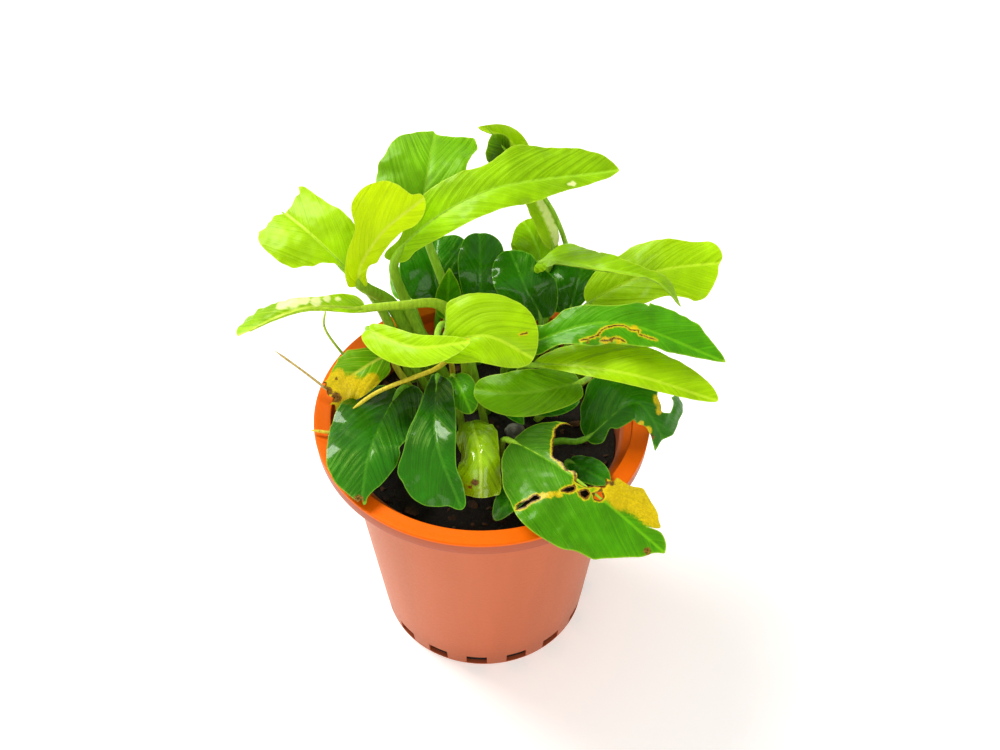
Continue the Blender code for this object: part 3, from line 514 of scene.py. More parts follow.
def smooth_curve(points, steps):
    """Catmull-Rom curve through the points, with the given number of steps between each two."""
    knots = [Vector(point) for point in points]
    knots = [2 * knots[0] - knots[1]] + knots + [2 * knots[-1] - knots[-2]]
    curve = []
    for before, start, end, after in zip(knots, knots[1:], knots[2:], knots[3:]):
        for step in range(steps):
            t = step / steps
            curve.append(0.5 * (
                2 * start
                + (end - before) * t
                + (2 * before - 5 * start + 4 * end - after) * t * t
                + (3 * start - before - 3 * end + after) * t * t * t
            ))
    curve.append(knots[-2])
    return curve


def pair(value):
    """Give the left and right value of a setting that may be one number for both halves."""
    return value if isinstance(value, tuple) else (value, value)


class Blade:
    """The curved surface of a leaf: flat leaf coordinates in, points and normals out."""

    def __init__(self, leaf):
        route = smooth_curve(leaf.stalk + leaf.blade, CURVE_STEPS)
        first = len(leaf.stalk) * CURVE_STEPS
        self.leaf = leaf
        self.stalk = route[:first + 1]
        self.spine = route[first:]
        self.reach = [0.0]
        for here, there in zip(self.spine, self.spine[1:]):
            self.reach.append(self.reach[-1] + (there - here).length)
        self.length = self.reach[-1]

    def frame(self, share):
        """Point on the midrib with its forward, side and up directions."""
        wanted = min(max(share, 0.0), 1.0) * self.length
        index = 0
        while index < len(self.reach) - 2 and self.reach[index + 1] < wanted:
            index += 1
        step = self.reach[index + 1] - self.reach[index]
        part = (wanted - self.reach[index]) / step
        point = self.spine[index].lerp(self.spine[index + 1], part)
        last = len(self.spine) - 1
        low = self.spine[min(index + 1, last)] - self.spine[max(index - 1, 0)]
        high = self.spine[min(index + 2, last)] - self.spine[index]
        ahead = low.normalized().lerp(high.normalized(), part).normalized()
        point = point + ahead * (share * self.length - wanted)
        base_face = Vector(self.leaf.face[0]).normalized()
        tip_face = Vector(self.leaf.face[1]).normalized()
        face = base_face.lerp(tip_face, min(max(share, 0.0), 1.0))
        up = (face - ahead * face.dot(ahead)).normalized()
        return point, ahead, up.cross(ahead), up

    def place(self, along, across):
        """Point and normal for a share of the length and millimetres across."""
        point, _, side, up = self.frame(along)
        half = 0 if across >= 0 else 1
        sign = 1 if across >= 0 else -1
        fold = math.radians(pair(self.leaf.fold)[half])
        bend = math.radians(pair(self.leaf.curl)[half]) / self.leaf.width[half]
        distance = abs(across)
        angle = fold - bend * distance
        if abs(bend) < 1e-6:
            out = distance * math.cos(fold)
            rise = distance * math.sin(fold)
        else:
            out = (math.sin(fold) - math.sin(angle)) / bend
            rise = (math.cos(angle) - math.cos(fold)) / bend
        place = point + side * (sign * out) + up * rise
        normal = up * math.cos(angle) - side * (sign * math.sin(angle))
        return place, normal

    def outline(self, station, half):
        """Half width as a share of the widest, and the margin's share of the length."""
        shape = self.leaf.shape
        rise, taper = shape[half] if isinstance(shape[0], tuple) else shape
        peak = rise / (rise + taper)
        top = peak ** rise * (1 - peak) ** taper
        wide = station ** rise * (1 - station) ** taper / top
        back = self.leaf.lobe * math.sin(math.pi * min(1.0, station / LOBE_REACH))
        return wide, station - back

    def living(self, along, across):
        """Point and normal with the ripples of a living blade: a sunk midrib and a wavy margin."""
        point, normal = self.place(along, across)
        half = 0 if across >= 0 else 1
        share = abs(across) / self.leaf.width[half]
        height, count, start = self.leaf.wave
        ripple = math.sin(2 * math.pi * (count * along + start + 0.37 * half))
        rise = height * share * share * ripple
        shift = Vector((self.leaf.seed * 7.0, 0.0, 0.0))
        rise += self.leaf.lumps * share * noise.noise(point * 0.12 + shift)
        rise += BUCKLE * (0.4 + share) * noise.noise(point * 0.35 + shift)
        rise -= RIB_DEPTH * math.exp(-(across / RIB_WIDTH) ** 2)
        return point + normal * rise, normal


def even_points(points, spacing):
    """Points at an even spacing round a closed flat outline."""
    line = np.array(points + [points[0]], float)
    steps = np.hypot(*(line[1:] - line[:-1]).T)
    reach = np.concatenate([[0.0], np.cumsum(steps)])
    count = max(8, int(round(reach[-1] / spacing)))
    wanted = np.linspace(0.0, reach[-1], count, endpoint=False)
    return np.stack([np.interp(wanted, reach, line[:, 0]), np.interp(wanted, reach, line[:, 1])], 1)


def inside(places, loop):
    """Which of the flat places lie inside a closed loop."""
    result = np.zeros(len(places), bool)
    x, y = places[:, 0], places[:, 1]
    for (ax, ay), (bx, by) in zip(loop, np.roll(loop, -1, 0)):
        if ay == by:
            continue
        crosses = (ay > y) != (by > y)
        result ^= crosses & (x < ax + (y - ay) * (bx - ax) / (by - ay))
    return result


def distance_to(places, loop):
    """Distance of each flat place from a closed loop."""
    starts = loop[None, :, :]
    run = (np.roll(loop, -1, 0) - loop)[None, :, :]
    gap = places[:, None, :] - starts
    share = np.clip((gap * run).sum(2) / np.maximum((run * run).sum(2), 1e-9), 0.0, 1.0)
    return np.hypot(*np.moveaxis(gap - run * share[:, :, None], 2, 0)).min(1)


def rounded(points):
    """Closed smooth curve through flat points; a point given twice stays a corner."""
    count = len(points)
    loop = []
    for index in range(count):
        near = [Vector(points[(index + shift) % count]) for shift in (-1, 0, 1, 2)]
        if near[1] != near[2]:
            loop += [tuple(place) for place in smooth_curve(near, 4)[4:8]]
    return loop


def scar_loop(line, width):
    """Closed outline of a narrow scar along a line, pointed at both ends."""
    line = [Vector(place) for place in smooth_curve([(*place, 0.0) for place in line], 3)]
    left, right = [], []
    for before, here, after in zip(line, line[1:], line[2:]):
        across = Vector((before.y - after.y, after.x - before.x)).normalized() * width / 2
        left.append((here.x + across.x, here.y + across.y))
        right.append((here.x - across.x, here.y - across.y))
    return [line[0][:2]] + left + [line[-1][:2]] + right[::-1]


def blade_loop(blade):
    """Flat outline of the blade in millimetres: up the left margin and back down the right one."""
    if blade.leaf.outline:
        return even_points(rounded(blade.leaf.outline), GRID * 0.6)
    stations = [0.5 - 0.5 * math.cos(math.pi * step / MARGIN_STEPS)
                for step in range(MARGIN_STEPS + 1)]
    stations = [min(station, blade.leaf.end) for station in stations]
    left, right = [], []
    for station in dict.fromkeys(stations):
        for half, side, sign in ((0, left, 1), (1, right, -1)):
            wide, margin = blade.outline(station, half)
            side.append((margin * blade.length, sign * blade.leaf.width[half] * wide))
    return even_points(left + right[::-1], GRID * 0.8)


def ragged(loop, depth, grain, seed):
    """Move a loop's points a little, so that a torn edge isn't smooth."""
    result = []
    for x, y in even_points([tuple(point) for point in loop], GRID * 0.5):
        shift = noise.noise_vector(Vector((x * grain, y * grain, seed)))
        result.append((x + depth * shift.x, y + depth * shift.y))
    return np.array(result)


def flat_mesh(blade):
    """The flat blade with its holes cut: places, triangles, distance to the edge and to wounds."""
    leaf = blade.leaf
    outer = blade_loop(blade)
    cuts = [ragged(cut, *HOLE_RAGGED, leaf.seed) for cut in leaf.holes]
    scars = [ragged(scar_loop(line, width), *SCAR_RAGGED, leaf.seed)
             for line, width in leaf.scars if width]
    bare = [np.array(line + line[::-1], float) for line, width in leaf.scars if not width]
    loops = [outer] + cuts + scars
    low, high = outer.min(0), outer.max(0)
    rows = []
    for row in (-RIB_ROW, 0.0, RIB_ROW):
        rows += [(x, row) for x in np.arange(low[0], high[0], GRID)]
    for index, y in enumerate(np.arange(2 * RIB_ROW, max(-low[1], high[1]) + GRID, GRID * 0.87)):
        for x in np.arange(low[0] - GRID * (index % 2) / 2, high[0], GRID):
            rows += [(x, y), (x, -y)]
    inner = np.array(rows)
    near = np.min([distance_to(inner, loop) for loop in loops], 0)
    inner = inner[inside(inner, outer) & (near > GRID * 0.45)]
    for cut in cuts:
        inner = inner[~inside(inner, cut)]
    points, edges = [], []
    for loop in loops:
        first = len(points)
        points += [Vector(point) for point in loop]
        edges += [(first + i, first + (i + 1) % len(loop)) for i in range(len(loop))]
    points += [Vector(point) for point in inner]
    places, _, faces, _, _, _ = delaunay_2d_cdt(points, edges, [], 0, 1e-5)
    places = np.array([(place.x, place.y) for place in places])
    faces = np.array(faces)
    centres = places[faces].mean(1)
    keep = inside(centres, outer)
    for cut in cuts:
        keep &= ~inside(centres, cut)
    faces = faces[keep]
    used = np.unique(faces)
    order = np.full(len(places), -1)
    order[used] = np.arange(len(used))
    places = places[used]
    edge = np.min([distance_to(places, loop) for loop in loops], 0)
    torn = np.full(len(places), UNHURT)
    for wound in cuts + bare:
        torn = np.minimum(torn, distance_to(places, wound))
    for scar in scars:
        torn = np.minimum(torn, distance_to(places, scar) + SCAR_PALENESS)
    return places, order[faces], edge, torn


def finish_mesh(shape, name, sharp=None):
    """Smooth object from a bmesh, with edges over an angle in degrees kept sharp."""
    mesh = bpy.data.meshes.new(name)
    shape.to_mesh(mesh)
    shape.free()
    made = bpy.data.objects.new(name, mesh)
    bpy.context.scene.collection.objects.link(made)
    mesh.shade_smooth()
    if sharp:
        mesh.set_sharp_from_angle(angle=math.radians(sharp))
    return made


def spots(places, marks):
    """Strength from 0 to 1 at each flat place of a list of round marks (x, y, radius)."""
    strength = np.zeros(len(places))
    for x, y, radius in marks:
        gap = np.hypot(places[:, 0] - x, places[:, 1] - y) / radius
        strength = np.maximum(strength, np.clip(1.5 - gap, 0.0, 1.0))
    return strength


def write_attribute(mesh, name, values):
    """Store one number for each vertex."""
    made = mesh.attributes.new(name, "FLOAT", "POINT")
    made.data.foreach_set("value", np.asarray(values, np.float32))


def tube(shape, route, radii, flatten, first_up):
    """Add a closed tapering tube along a route; flatten is its thickness as a share of its width."""
    up = first_up
    rings = []
    last = len(route) - 1
    for index, centre in enumerate(route):
        ahead = (route[min(index + 1, last)] - route[max(index - 1, 0)]).normalized()
        up = (up - ahead * up.dot(ahead)).normalized()
        side = up.cross(ahead)
        ring = []
        for step in range(STALK_SIDES):
            angle = 2 * math.pi * step / STALK_SIDES
            wide = radii[index] * math.cos(angle)
            thick = radii[index] * flatten[index] * math.sin(angle)
            ring.append(shape.verts.new((centre + side * wide + up * thick) * MM))
        rings.append(ring)
    shape.faces.new(rings[0][::-1])
    shape.faces.new(rings[-1])
    for low, high in zip(rings, rings[1:]):
        for step in range(STALK_SIDES):
            after = (step + 1) % STALK_SIDES
            shape.faces.new((low[step], low[after], high[after], high[step]))


def stalk_route(blade):
    """Route of the stalk from under the soil, on beneath the midrib to near the tip, with radii."""
    leaf = blade.leaf
    route = [blade.stalk[0] - Vector((0.0, 0.0, ROOT_DEPTH))] + blade.stalk[:-1:2]
    radii = [leaf.radius * (1.35 - 0.35 * index / (len(route) - 1)) for index in range(len(route))]
    steps = max(6, int(blade.length / 4))
    for step in range(steps):
        share = RIB_END * leaf.end * step / (steps - 1)
        radius = leaf.radius * (1 - share) ** 1.3 * 0.9 + 0.12
        point, normal = blade.living(share, 0.0)
        route.append(point - normal * radius * (0.75 if step else 0.3))
        radii.append(radius)
    return route, radii


def build_leaf(leaf, thickness):
    """Mesh object of one leaf: blade with both skins and a rim, and stalk with the midrib below."""
    blade = Blade(leaf)
    places, faces, edge, torn = flat_mesh(blade)
    shape = bmesh.new()
    top, under = [], []
    for (x, y), near in zip(places, edge):
        point, normal = blade.living(x / blade.length, y)
        half = 0.5 * thickness * (RIM_SHARE + (1 - RIM_SHARE) * min(1.0, near / 3.0))
        top.append(shape.verts.new((point + normal * half) * MM))
        under.append(shape.verts.new((point - normal * half) * MM))
    count = {}
    for a, b, c in faces:
        shape.faces.new((top[a], top[b], top[c]))
        shape.faces.new((under[c], under[b], under[a]))
        for pair_of in ((a, b), (b, c), (c, a)):
            count[pair_of] = count.get(pair_of, 0) + 1
    for a, b in count:
        if (b, a) not in count:
            shape.faces.new((top[b], top[a], under[a], under[b]))
    route, radii = stalk_route(blade)
    flat = [leaf.sheath if index > 2 else 1.0 for index in range(len(radii))]
    first_up = blade.frame(0.0)[3]
    tube(shape, route, radii, flat, first_up)
    made = finish_mesh(shape, leaf.piece, 50)
    mesh = made.data
    blade_count = len(places)
    extra = len(mesh.vertices) - 2 * blade_count
    layer = mesh.uv_layers.new(name="flat")
    both = np.repeat(places, 2, 0)
    along = np.array([(-10.0, 0.0)] * extra).reshape(-1, 2)
    flat_places = np.concatenate([both, along]) * FLAT_SCALE
    corners = np.zeros(len(mesh.loops), int)
    mesh.loops.foreach_get("vertex_index", corners)
    layer.data.foreach_set("uv", flat_places[corners].astype(np.float32).ravel())
    pad = np.full(extra, UNHURT)
    write_attribute(mesh, "edge", np.concatenate([np.repeat(edge, 2), pad]))
    write_attribute(mesh, "torn", np.concatenate([np.repeat(torn, 2), pad]))
    skin = np.concatenate([np.tile([0.0, 1.0], blade_count), np.full(extra, 0.5)])
    write_attribute(mesh, "skin", skin)
    for name, marks in (("yellow", leaf.yellow), ("brown", leaf.brown), ("pale", leaf.pale)):
        strength = np.repeat(spots(places, marks), 2)
        write_attribute(mesh, name, np.concatenate([strength, np.zeros(extra)]))
    return made


class Field:
    """A node socket that can be used in arithmetic; each operation adds its Math node."""

    def __init__(self, paint, socket):
        self.paint = paint
        self.socket = socket

    def __add__(self, other):
        return self.paint.math("ADD", self, other)

    def __radd__(self, other):
        return self.paint.math("ADD", other, self)

    def __sub__(self, other):
        return self.paint.math("SUBTRACT", self, other)

    def __rsub__(self, other):
        return self.paint.math("SUBTRACT", other, self)

    def __mul__(self, other):
        return self.paint.math("MULTIPLY", self, other)

    def __rmul__(self, other):
        return self.paint.math("MULTIPLY", other, self)

    def __truediv__(self, other):
        return self.paint.math("DIVIDE", self, other)

    def __abs__(self):
        return self.paint.math("ABSOLUTE", self)


class Paint:
    """Builds the nodes of one material."""

    def __init__(self, name):
        self.material = bpy.data.materials.new(name)
        self.material.use_nodes = True
        self.tree = self.material.node_tree
        self.shader = self.tree.nodes["Principled BSDF"]

    def node(self, kind, settings=None, values=None, output=0):
        """Add a node: its settings first, then its sockets' values or links; return one output."""
        made = self.tree.nodes.new(kind)
        for key, value in (settings or {}).items():
            setattr(made, key, value)
        for key, value in (values or {}).items():
            self.feed(made.inputs[key], value)
        return Field(self, made.outputs[output])

    def feed(self, socket, value):
        """Link a field to a socket, or set the socket's own value."""
        if isinstance(value, Field):
            self.tree.links.new(value.socket, socket)
        elif isinstance(value, tuple) and socket.type == "RGBA":
            socket.default_value = (*value[:3], 1.0)
        else:
            socket.default_value = value

    def math(self, operation, first, second=0.0):
        return self.node("ShaderNodeMath", {"operation": operation}, {0: first, 1: second})

    def clamp(self, value):
        return self.node("ShaderNodeClamp", None, {"Value": value})

    def step(self, value, low, high):
        """0 below low, 1 above high, smooth between; low may be the larger one."""
        if low > high:
            return 1.0 - self.step(value, high, low)
        settings = {"interpolation_type": "SMOOTHSTEP"}
        values = {"Value": value, "From Min": low, "From Max": high}
        return self.node("ShaderNodeMapRange", settings, values)

    def mix(self, share, first, second):
        """Blend two colours by a share."""
        settings = {"data_type": "RGBA", "clamp_factor": True}
        return self.node("ShaderNodeMix", settings, {0: share, 6: first, 7: second}, 2)

    def number(self, name):
        """A number stored on the mesh."""
        return self.node("ShaderNodeAttribute", {"attribute_name": name}, None, "Fac")

    def vector(self, x, y, z):
        return self.node("ShaderNodeCombineXYZ", None, {0: x, 1: y, 2: z})

    def split(self, vector):
        """The three parts of a vector."""
        first = self.node("ShaderNodeSeparateXYZ", None, {0: vector})
        made = first.socket.node
        return [Field(self, socket) for socket in made.outputs]

    def noise(self, vector, scale, detail=3.0, roughness=0.5):
        values = {"Vector": vector, "Scale": scale, "Detail": detail, "Roughness": roughness}
        return self.node("ShaderNodeTexNoise", {"noise_dimensions": "3D"}, values)

    def place(self):
        """Position in metres on the object."""
        return self.node("ShaderNodeTexCoord", None, None, "Object")

    def bump(self, height, distance):
        values = {"Height": height, "Distance": distance, "Strength": 1.0}
        return self.node("ShaderNodeBump", None, values, "Normal")

    def finish(self, **values):
        """Feed the shader's sockets, named with underscores for spaces, and return the material."""
        for key, value in values.items():
            self.feed(self.shader.inputs[key.replace("_", " ")], value)
        return self.material


def leaf_paint(leaf, plant):
    """Waxy veined green, paler below, with its yellowed and dead patches and pale streaks, painted
    shade at the base, a light margin that is partly painted highlight, and one painted highlight
    stripe.
    """
    paint = Paint(leaf.piece + "_green")
    look = LOOKS[leaf.look]
    seed = leaf.seed * 3.7
    green = Vector(getattr(plant, look.green))
    fresh = tuple(green * look.fresh)
    deep = tuple(green * look.deep)
    flat = paint.split(paint.node("ShaderNodeUVMap", {"uv_map": "flat"}))
    x = flat[0] / FLAT_SCALE
    y = flat[1] / FLAT_SCALE
    across = abs(y)
    edge = paint.number("edge")
    skin = paint.number("skin")
    vein = x - VEIN_LEAN * across - VEIN_BEND * across * across
    streak = paint.noise(paint.vector(vein * 1.0, y * 0.06, seed), 0.9, 4.0, 0.6)
    pleat = paint.noise(paint.vector(vein * 0.3, y * 0.02, seed + 9.0), 0.75, 1.0)
    cloud = paint.noise(paint.vector(x, y, seed + 4.0), 0.07, 3.0)
    speck = paint.noise(paint.vector(x, y, seed + 20.0), 1.3, 5.0, 0.65)
    stalk = paint.step(skin, 0.25, 0.5) * paint.step(skin, 0.75, 0.5)
    rib = paint.step(across, *RIB_PAINT)
    veins = paint.step(streak, 0.53, 0.72)
    colour = paint.mix(paint.step(cloud + (streak - 0.5) * 0.5, 0.2, 0.8), deep, fresh)
    colour = paint.mix(veins * look.veins, colour, look.vein_colour)
    colour = paint.mix(paint.step(streak, 0.47, 0.3) * look.veins * 0.8, colour, deep)
    colour = paint.mix(rib * look.rib, colour, look.vein_colour)
    length = Blade(leaf).length
    # painted shade: the blade is darkened towards its base, as strongly as the leaf's base shade
    # setting
    base = paint.step(x + (streak - 0.5) * 12.0, *(share * length for share in BASE_SHADE_SPAN))
    colour = paint.mix(base * leaf.base_shade, colour, tuple(green * 0.12))
    # a light line along the margin: partly the leaf's own paler edge, partly painted highlight
    colour = paint.mix(paint.step(edge, 0.55, 0.1) * look.margin, colour, look.margin_tint_and_highlight)
    under = paint.mix(0.45 + 0.2 * streak, tuple(green * 0.9), look.under_colour)
    colour = paint.mix(paint.step(skin, 0.5, 0.75), colour, under)
    stretch = {"Vector": paint.place(), "Scale": (900.0, 900.0, 110.0)}
    fibre = paint.node("ShaderNodeMapping", None, stretch)
    grain = paint.noise(fibre, 1.0, 3.0, 0.6)
    shaft = paint.mix(paint.step(grain, 0.3, 0.7), tuple(Vector(look.stalk) * 0.75), look.stalk)
    # pale streaks of the leaf's own, and on the hooked leaf a painted highlight, both in the cream
    # colour
    pale_streak_and_highlight = paint.step(paint.number("pale") + (streak - 0.5) * 0.6, 0.3, 0.8)
    colour = paint.mix(pale_streak_and_highlight * 0.85, colour, tuple(plant.pale))
    colour = paint.mix(stalk, colour, shaft)
    yellow = paint.number("yellow")
    brown = paint.number("brown")
    torn = paint.number("torn")
    ragged = (speck - 0.5) * 1.3 + (streak - 0.5) * 0.5
    wilt = paint.step(yellow + ragged * 0.5, 0.3, 0.75)
    halo = paint.step(torn + ragged * 1.4, 1.4, 0.5)
    ripe = paint.step(speck + (cloud - 0.5), 0.35, 0.7)
    sallow = paint.mix(ripe, tuple(Vector(plant.wilted) * 0.7), tuple(plant.wilted))
    colour = paint.mix(wilt * 0.92, colour, sallow)
    colour = paint.mix(halo * HALO, colour, tuple(plant.wilted))
    dead = paint.step(brown + ragged, 0.5, 0.75)
    rim = paint.step(torn + ragged * 0.6, 0.75, 0.35)
    dead = paint.math("MAXIMUM", dead, rim)
    husk = paint.mix(paint.step(speck, 0.35, 0.65), (0.05, 0.018, 0.004), (0.32, 0.16, 0.03))
    colour = paint.mix(dead, colour, husk)
    rough = look.rough + (speck - 0.5) * 0.12 + dead * 0.3 + paint.step(skin, 0.25, 0.75) * 0.15
    height = streak * 0.35 + pleat * 1.1 + speck * 0.12 + stalk * grain * 0.5
    normal = paint.bump(height, look.relief)
    return paint.finish(
        Base_Color=colour,
        Roughness=paint.clamp(rough),
        Normal=normal,
        Specular_IOR_Level=LEAF_SHINE,
        Specular_Tint=(0.7, 0.9, 0.15),
        Coat_Weight=look.gloss,
        Coat_Roughness=look.film,
        Subsurface_Weight=plant.glow,
        Subsurface_Radius=(1.0, 1.0, 0.3),
        Subsurface_Scale=0.0015,
    )


def shoot_paint(shoot, plant):
    """Ribbed green or dried stem with dark specks, turning towards its end shade higher up."""
    paint = Paint(shoot.piece + "_skin")
    x, y, z = paint.split(paint.place())
    low = shoot.route[0][2] * MM
    high = max(point[2] for point in shoot.route) * MM
    grain = paint.noise(paint.vector(x * 900.0, y * 900.0, z * 90.0), 1.0, 4.0, 0.6)
    speck = paint.noise(paint.vector(x * 700.0, y * 700.0, z * 700.0), 1.0, 3.0)
    colour = paint.mix(paint.step(grain, 0.35, 0.65), shoot.dark, shoot.light)
    rise = paint.step(z, low, high)
    colour = paint.mix(rise * 0.5, colour, shoot.end)
    colour = paint.mix(paint.step(speck, 0.62, 0.75) * 0.7, colour, (0.09, 0.045, 0.015))
    return paint.finish(
        Base_Color=colour,
        Roughness=0.42 + 0.25 * grain,
        Normal=paint.bump(grain + speck * 0.3, 0.0004),
    )


def pot_paint(plant):
    """Moulded terracotta-coloured plastic: vivid lip, a band of painted shade on the skirt below it,
    and wall with faint scuffs; painted shade also darkens the foot and the rim's inner face.
    """
    paint = Paint("pot_plastic_surface")
    x, y, z = paint.split(paint.place())
    around = paint.math("ARCTAN2", y, x)
    radius = paint.math("SQRT", x * x + y * y)
    flow = paint.noise(paint.vector(around * 3.0, z * 9.0, 0.0), 1.0, 4.0)
    grain = paint.noise(paint.vector(x * 900.0, y * 900.0, z * 900.0), 1.0, 3.0)
    scuff = paint.noise(paint.vector(around * 14.0, z * 260.0, 3.0), 1.0, 5.0, 0.7)
    faded = tuple(Vector(plant.pot_wall) * 0.93)
    wall = paint.mix(paint.step(flow, 0.3, 0.7), faded, tuple(plant.pot_wall))
    # painted shade: the wall is darkened over its lowest 2 cm, where it stands on the floor
    foot = paint.step(z, 0.02, 0.0)
    wall = paint.mix(foot * 0.35, wall, tuple(Vector(plant.pot_wall) * 0.6))
    lip = paint.step(z, (POT_TOP - 1.6) * MM, (POT_TOP - 0.9) * MM)
    # painted shade: above the collar the skirt takes the darker band colour, standing in for the
    # shadow under the lip
    band = paint.step(z, (POT_TOP - SKIRT_DROP - 0.8) * MM, (POT_TOP - SKIRT_DROP - 0.2) * MM)
    colour = paint.mix(band * 0.8, wall, tuple(plant.pot_band_shade))
    colour = paint.mix(lip, colour, tuple(plant.pot_lip))
    # painted shade: the inner face of the rim, above the collar, gets a darker copy of the lip's
    # orange
    inner = paint.step(radius, (RIM_INNER_RADIUS + 0.5) * MM, (RIM_INNER_RADIUS - 0.1) * MM)
    colour = paint.mix(inner * band, colour, tuple(Vector(plant.pot_lip) * 0.8))
    marks = paint.step(scuff, 0.66, 0.8) * 0.25
    colour = paint.mix(marks, colour, tuple(Vector(plant.pot_wall) * 1.25))
    height = grain * 0.25 + flow * 0.6 + scuff * 0.25
    return paint.finish(
        Base_Color=colour,
        Roughness=paint.clamp(0.42 + 0.2 * (grain - 0.5) + marks * 0.8),
        Normal=paint.bump(height, 0.00025),
        Specular_IOR_Level=0.4,
        Specular_Tint=(1.0, 0.6, 0.35),
        Subsurface_Weight=0.12,
        Subsurface_Radius=(1.0, 0.35, 0.15),
        Subsurface_Scale=0.0015,
    )


def soil_paint(plant):
    """Moist dark potting soil with fibres and crumbs."""
    paint = Paint("soil_surface_crumbs")
    place = paint.place()
    crumb = paint.noise(place, 420.0, 5.0, 0.7)
    fibre = paint.noise(place, 1100.0, 4.0, 0.7)
    lumps = paint.noise(place, 130.0, 2.0)
    dark = tuple(Vector(plant.soil) * 0.4)
    colour = paint.mix(paint.step(crumb, 0.35, 0.7), dark, tuple(plant.soil))
    colour = paint.mix(paint.step(fibre, 0.62, 0.75) * 0.6, colour, (0.10, 0.055, 0.025))
    return paint.finish(
        Base_Color=colour,
        Roughness=paint.clamp(0.75 + 0.3 * (crumb - 0.5)),
        Normal=paint.bump(crumb + fibre * 0.4 + lumps, 0.0012),
    )


def chip_paint():
    """Bark: brown flakes with a fine grain, each chip a little different."""
    paint = Paint("bark_chip_grain")
    place = paint.place()
    tone = paint.noise(place, 90.0, 1.0)
    grain = paint.noise(place, 900.0, 4.0, 0.65)
    colour = paint.mix(paint.step(tone, 0.35, 0.65), (0.035, 0.018, 0.01), (0.16, 0.075, 0.03))
    colour = paint.mix(grain * 0.5, colour, (0.02, 0.01, 0.006))
    return paint.finish(
        Base_Color=colour,
        Roughness=0.6 + 0.3 * grain,
        Normal=paint.bump(grain, 0.0005),
    )


def pebble_paint():
    """Grey-green grit stone with fine grains."""
    paint = Paint("pebble_grit")
    place = paint.place()
    grit = paint.noise(place, 1500.0, 5.0, 0.7)
    tone = paint.noise(place, 260.0, 3.0)
    colour = paint.mix(paint.step(tone, 0.35, 0.65), (0.10, 0.10, 0.075), (0.34, 0.33, 0.27))
    colour = paint.mix(paint.step(grit, 0.6, 0.7) * 0.6, colour, (0.5, 0.48, 0.4))
    return paint.finish(
        Base_Color=colour,
        Roughness=0.7 + 0.2 * grit,
        Normal=paint.bump(grit, 0.0004),
    )


def floor_paint(stage):
    """Matte white table surface."""
    paint = Paint("white_floor")
    mottle = paint.noise(paint.place(), 6.0, 3.0)
    tint = tuple(Vector(stage.floor) * 0.99)
    return paint.finish(
        Base_Color=paint.mix(mottle, tint, tuple(stage.floor)),
        Roughness=0.7 + 0.1 * mottle,
        Specular_IOR_Level=0.2,
        Emission_Color=tuple(stage.floor),
        Emission_Strength=stage.lift,
    )


def show(piece, material, node):
    """Give a finished piece its material and its place in the frame."""
    piece.data.materials.append(material)
    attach(piece, BODY)
    if node:
        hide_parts(node)


def lathe(name, profile, segments):
    """Turn a profile of (radius, height) points, bottom to top centre, into a closed mesh."""
    shape = bmesh.new()
    rings = []
    for radius, height in profile:
        if radius == 0:
            rings.append([shape.verts.new(mm((0, 0, height)))])
            continue
        ring = []
        for index in range(segments):
            angle = 2 * math.pi * index / segments
            place = (radius * math.cos(angle), radius * math.sin(angle), height)
            ring.append(shape.verts.new(mm(place)))
        rings.append(ring)
    for low, high in zip(rings, rings[1:]):
        for index in range(segments):
            after = (index + 1) % segments
            if len(low) == 1:
                shape.faces.new((low[0], high[after], high[index]))
            elif len(high) == 1:
                shape.faces.new((low[index], low[after], high[0]))
            else:
                shape.faces.new((low[index], low[after], high[after], high[index]))
    return finish_mesh(shape, name, POT_SHARP)


def wall_radius(height):
    """Outer radius of the pot's tapered wall."""
    share = height / (POT_TOP - SKIRT_DROP)
    return BASE_RADIUS + (WALL_TOP_RADIUS - BASE_RADIUS) * share


def corner(centre, radius, start, end, steps=5):
    """Points of a rounded corner, from one angle to another in degrees."""
    points = []
    for step in range(steps + 1):
        angle = math.radians(start + (end - start) * step / steps)
        points.append((centre[0] + radius * math.cos(angle), centre[1] + radius * math.sin(angle)))
    return points


def pot_profile():
    """Rounded outline of the pot, from the middle of its underside up and down again inside."""
    collar = POT_TOP - SKIRT_DROP
    inner_collar = collar - LIP_THICKNESS
    wall_top = (wall_radius(inner_collar), inner_collar)
    profile = [(0, 0), (BASE_RADIUS - 3.0, 0)]
    profile += corner((BASE_RADIUS - 0.9, 0.9), 0.9, -90, -6)
    profile += [(wall_radius(height), height) for height in (8.0, 30.0, 60.0, 90.0)]
    profile += [wall_top]
    profile += [(RIM_INNER_RADIUS + LIP_THICKNESS * 0.7, collar + LIP_THICKNESS)]
    profile += [(RIM_INNER_RADIUS + LIP_THICKNESS, POT_TOP - LIP_THICKNESS)]
    profile += [(RIM_RADIUS - LIP_THICKNESS - 0.2, POT_TOP - LIP_THICKNESS)]
    profile += [(RIM_RADIUS - LIP_THICKNESS - 0.4, collar)]
    profile += corner((RIM_RADIUS - 0.75, collar + 0.35), 0.35, -90, 0, 3)
    profile += corner((RIM_RADIUS - 0.55, POT_TOP - 0.55), 0.55, 0, 90)
    profile += [(RIM_RADIUS - 2.0, POT_TOP - 0.1), (RIM_INNER_RADIUS + 1.5, POT_TOP - 0.1)]
    profile += corner((RIM_INNER_RADIUS + 0.4, POT_TOP - 0.4), 0.4, 90, 180, 3)
    profile += [(RIM_INNER_RADIUS - LIP_THICKNESS * 0.3, collar + LIP_THICKNESS)]
    profile += [(wall_top[0] - WALL_THICKNESS, inner_collar)]
    foot = wall_radius(FLOOR_THICKNESS) - WALL_THICKNESS
    profile += [(foot, FLOOR_THICKNESS), (0, FLOOR_THICKNESS)]
    return profile


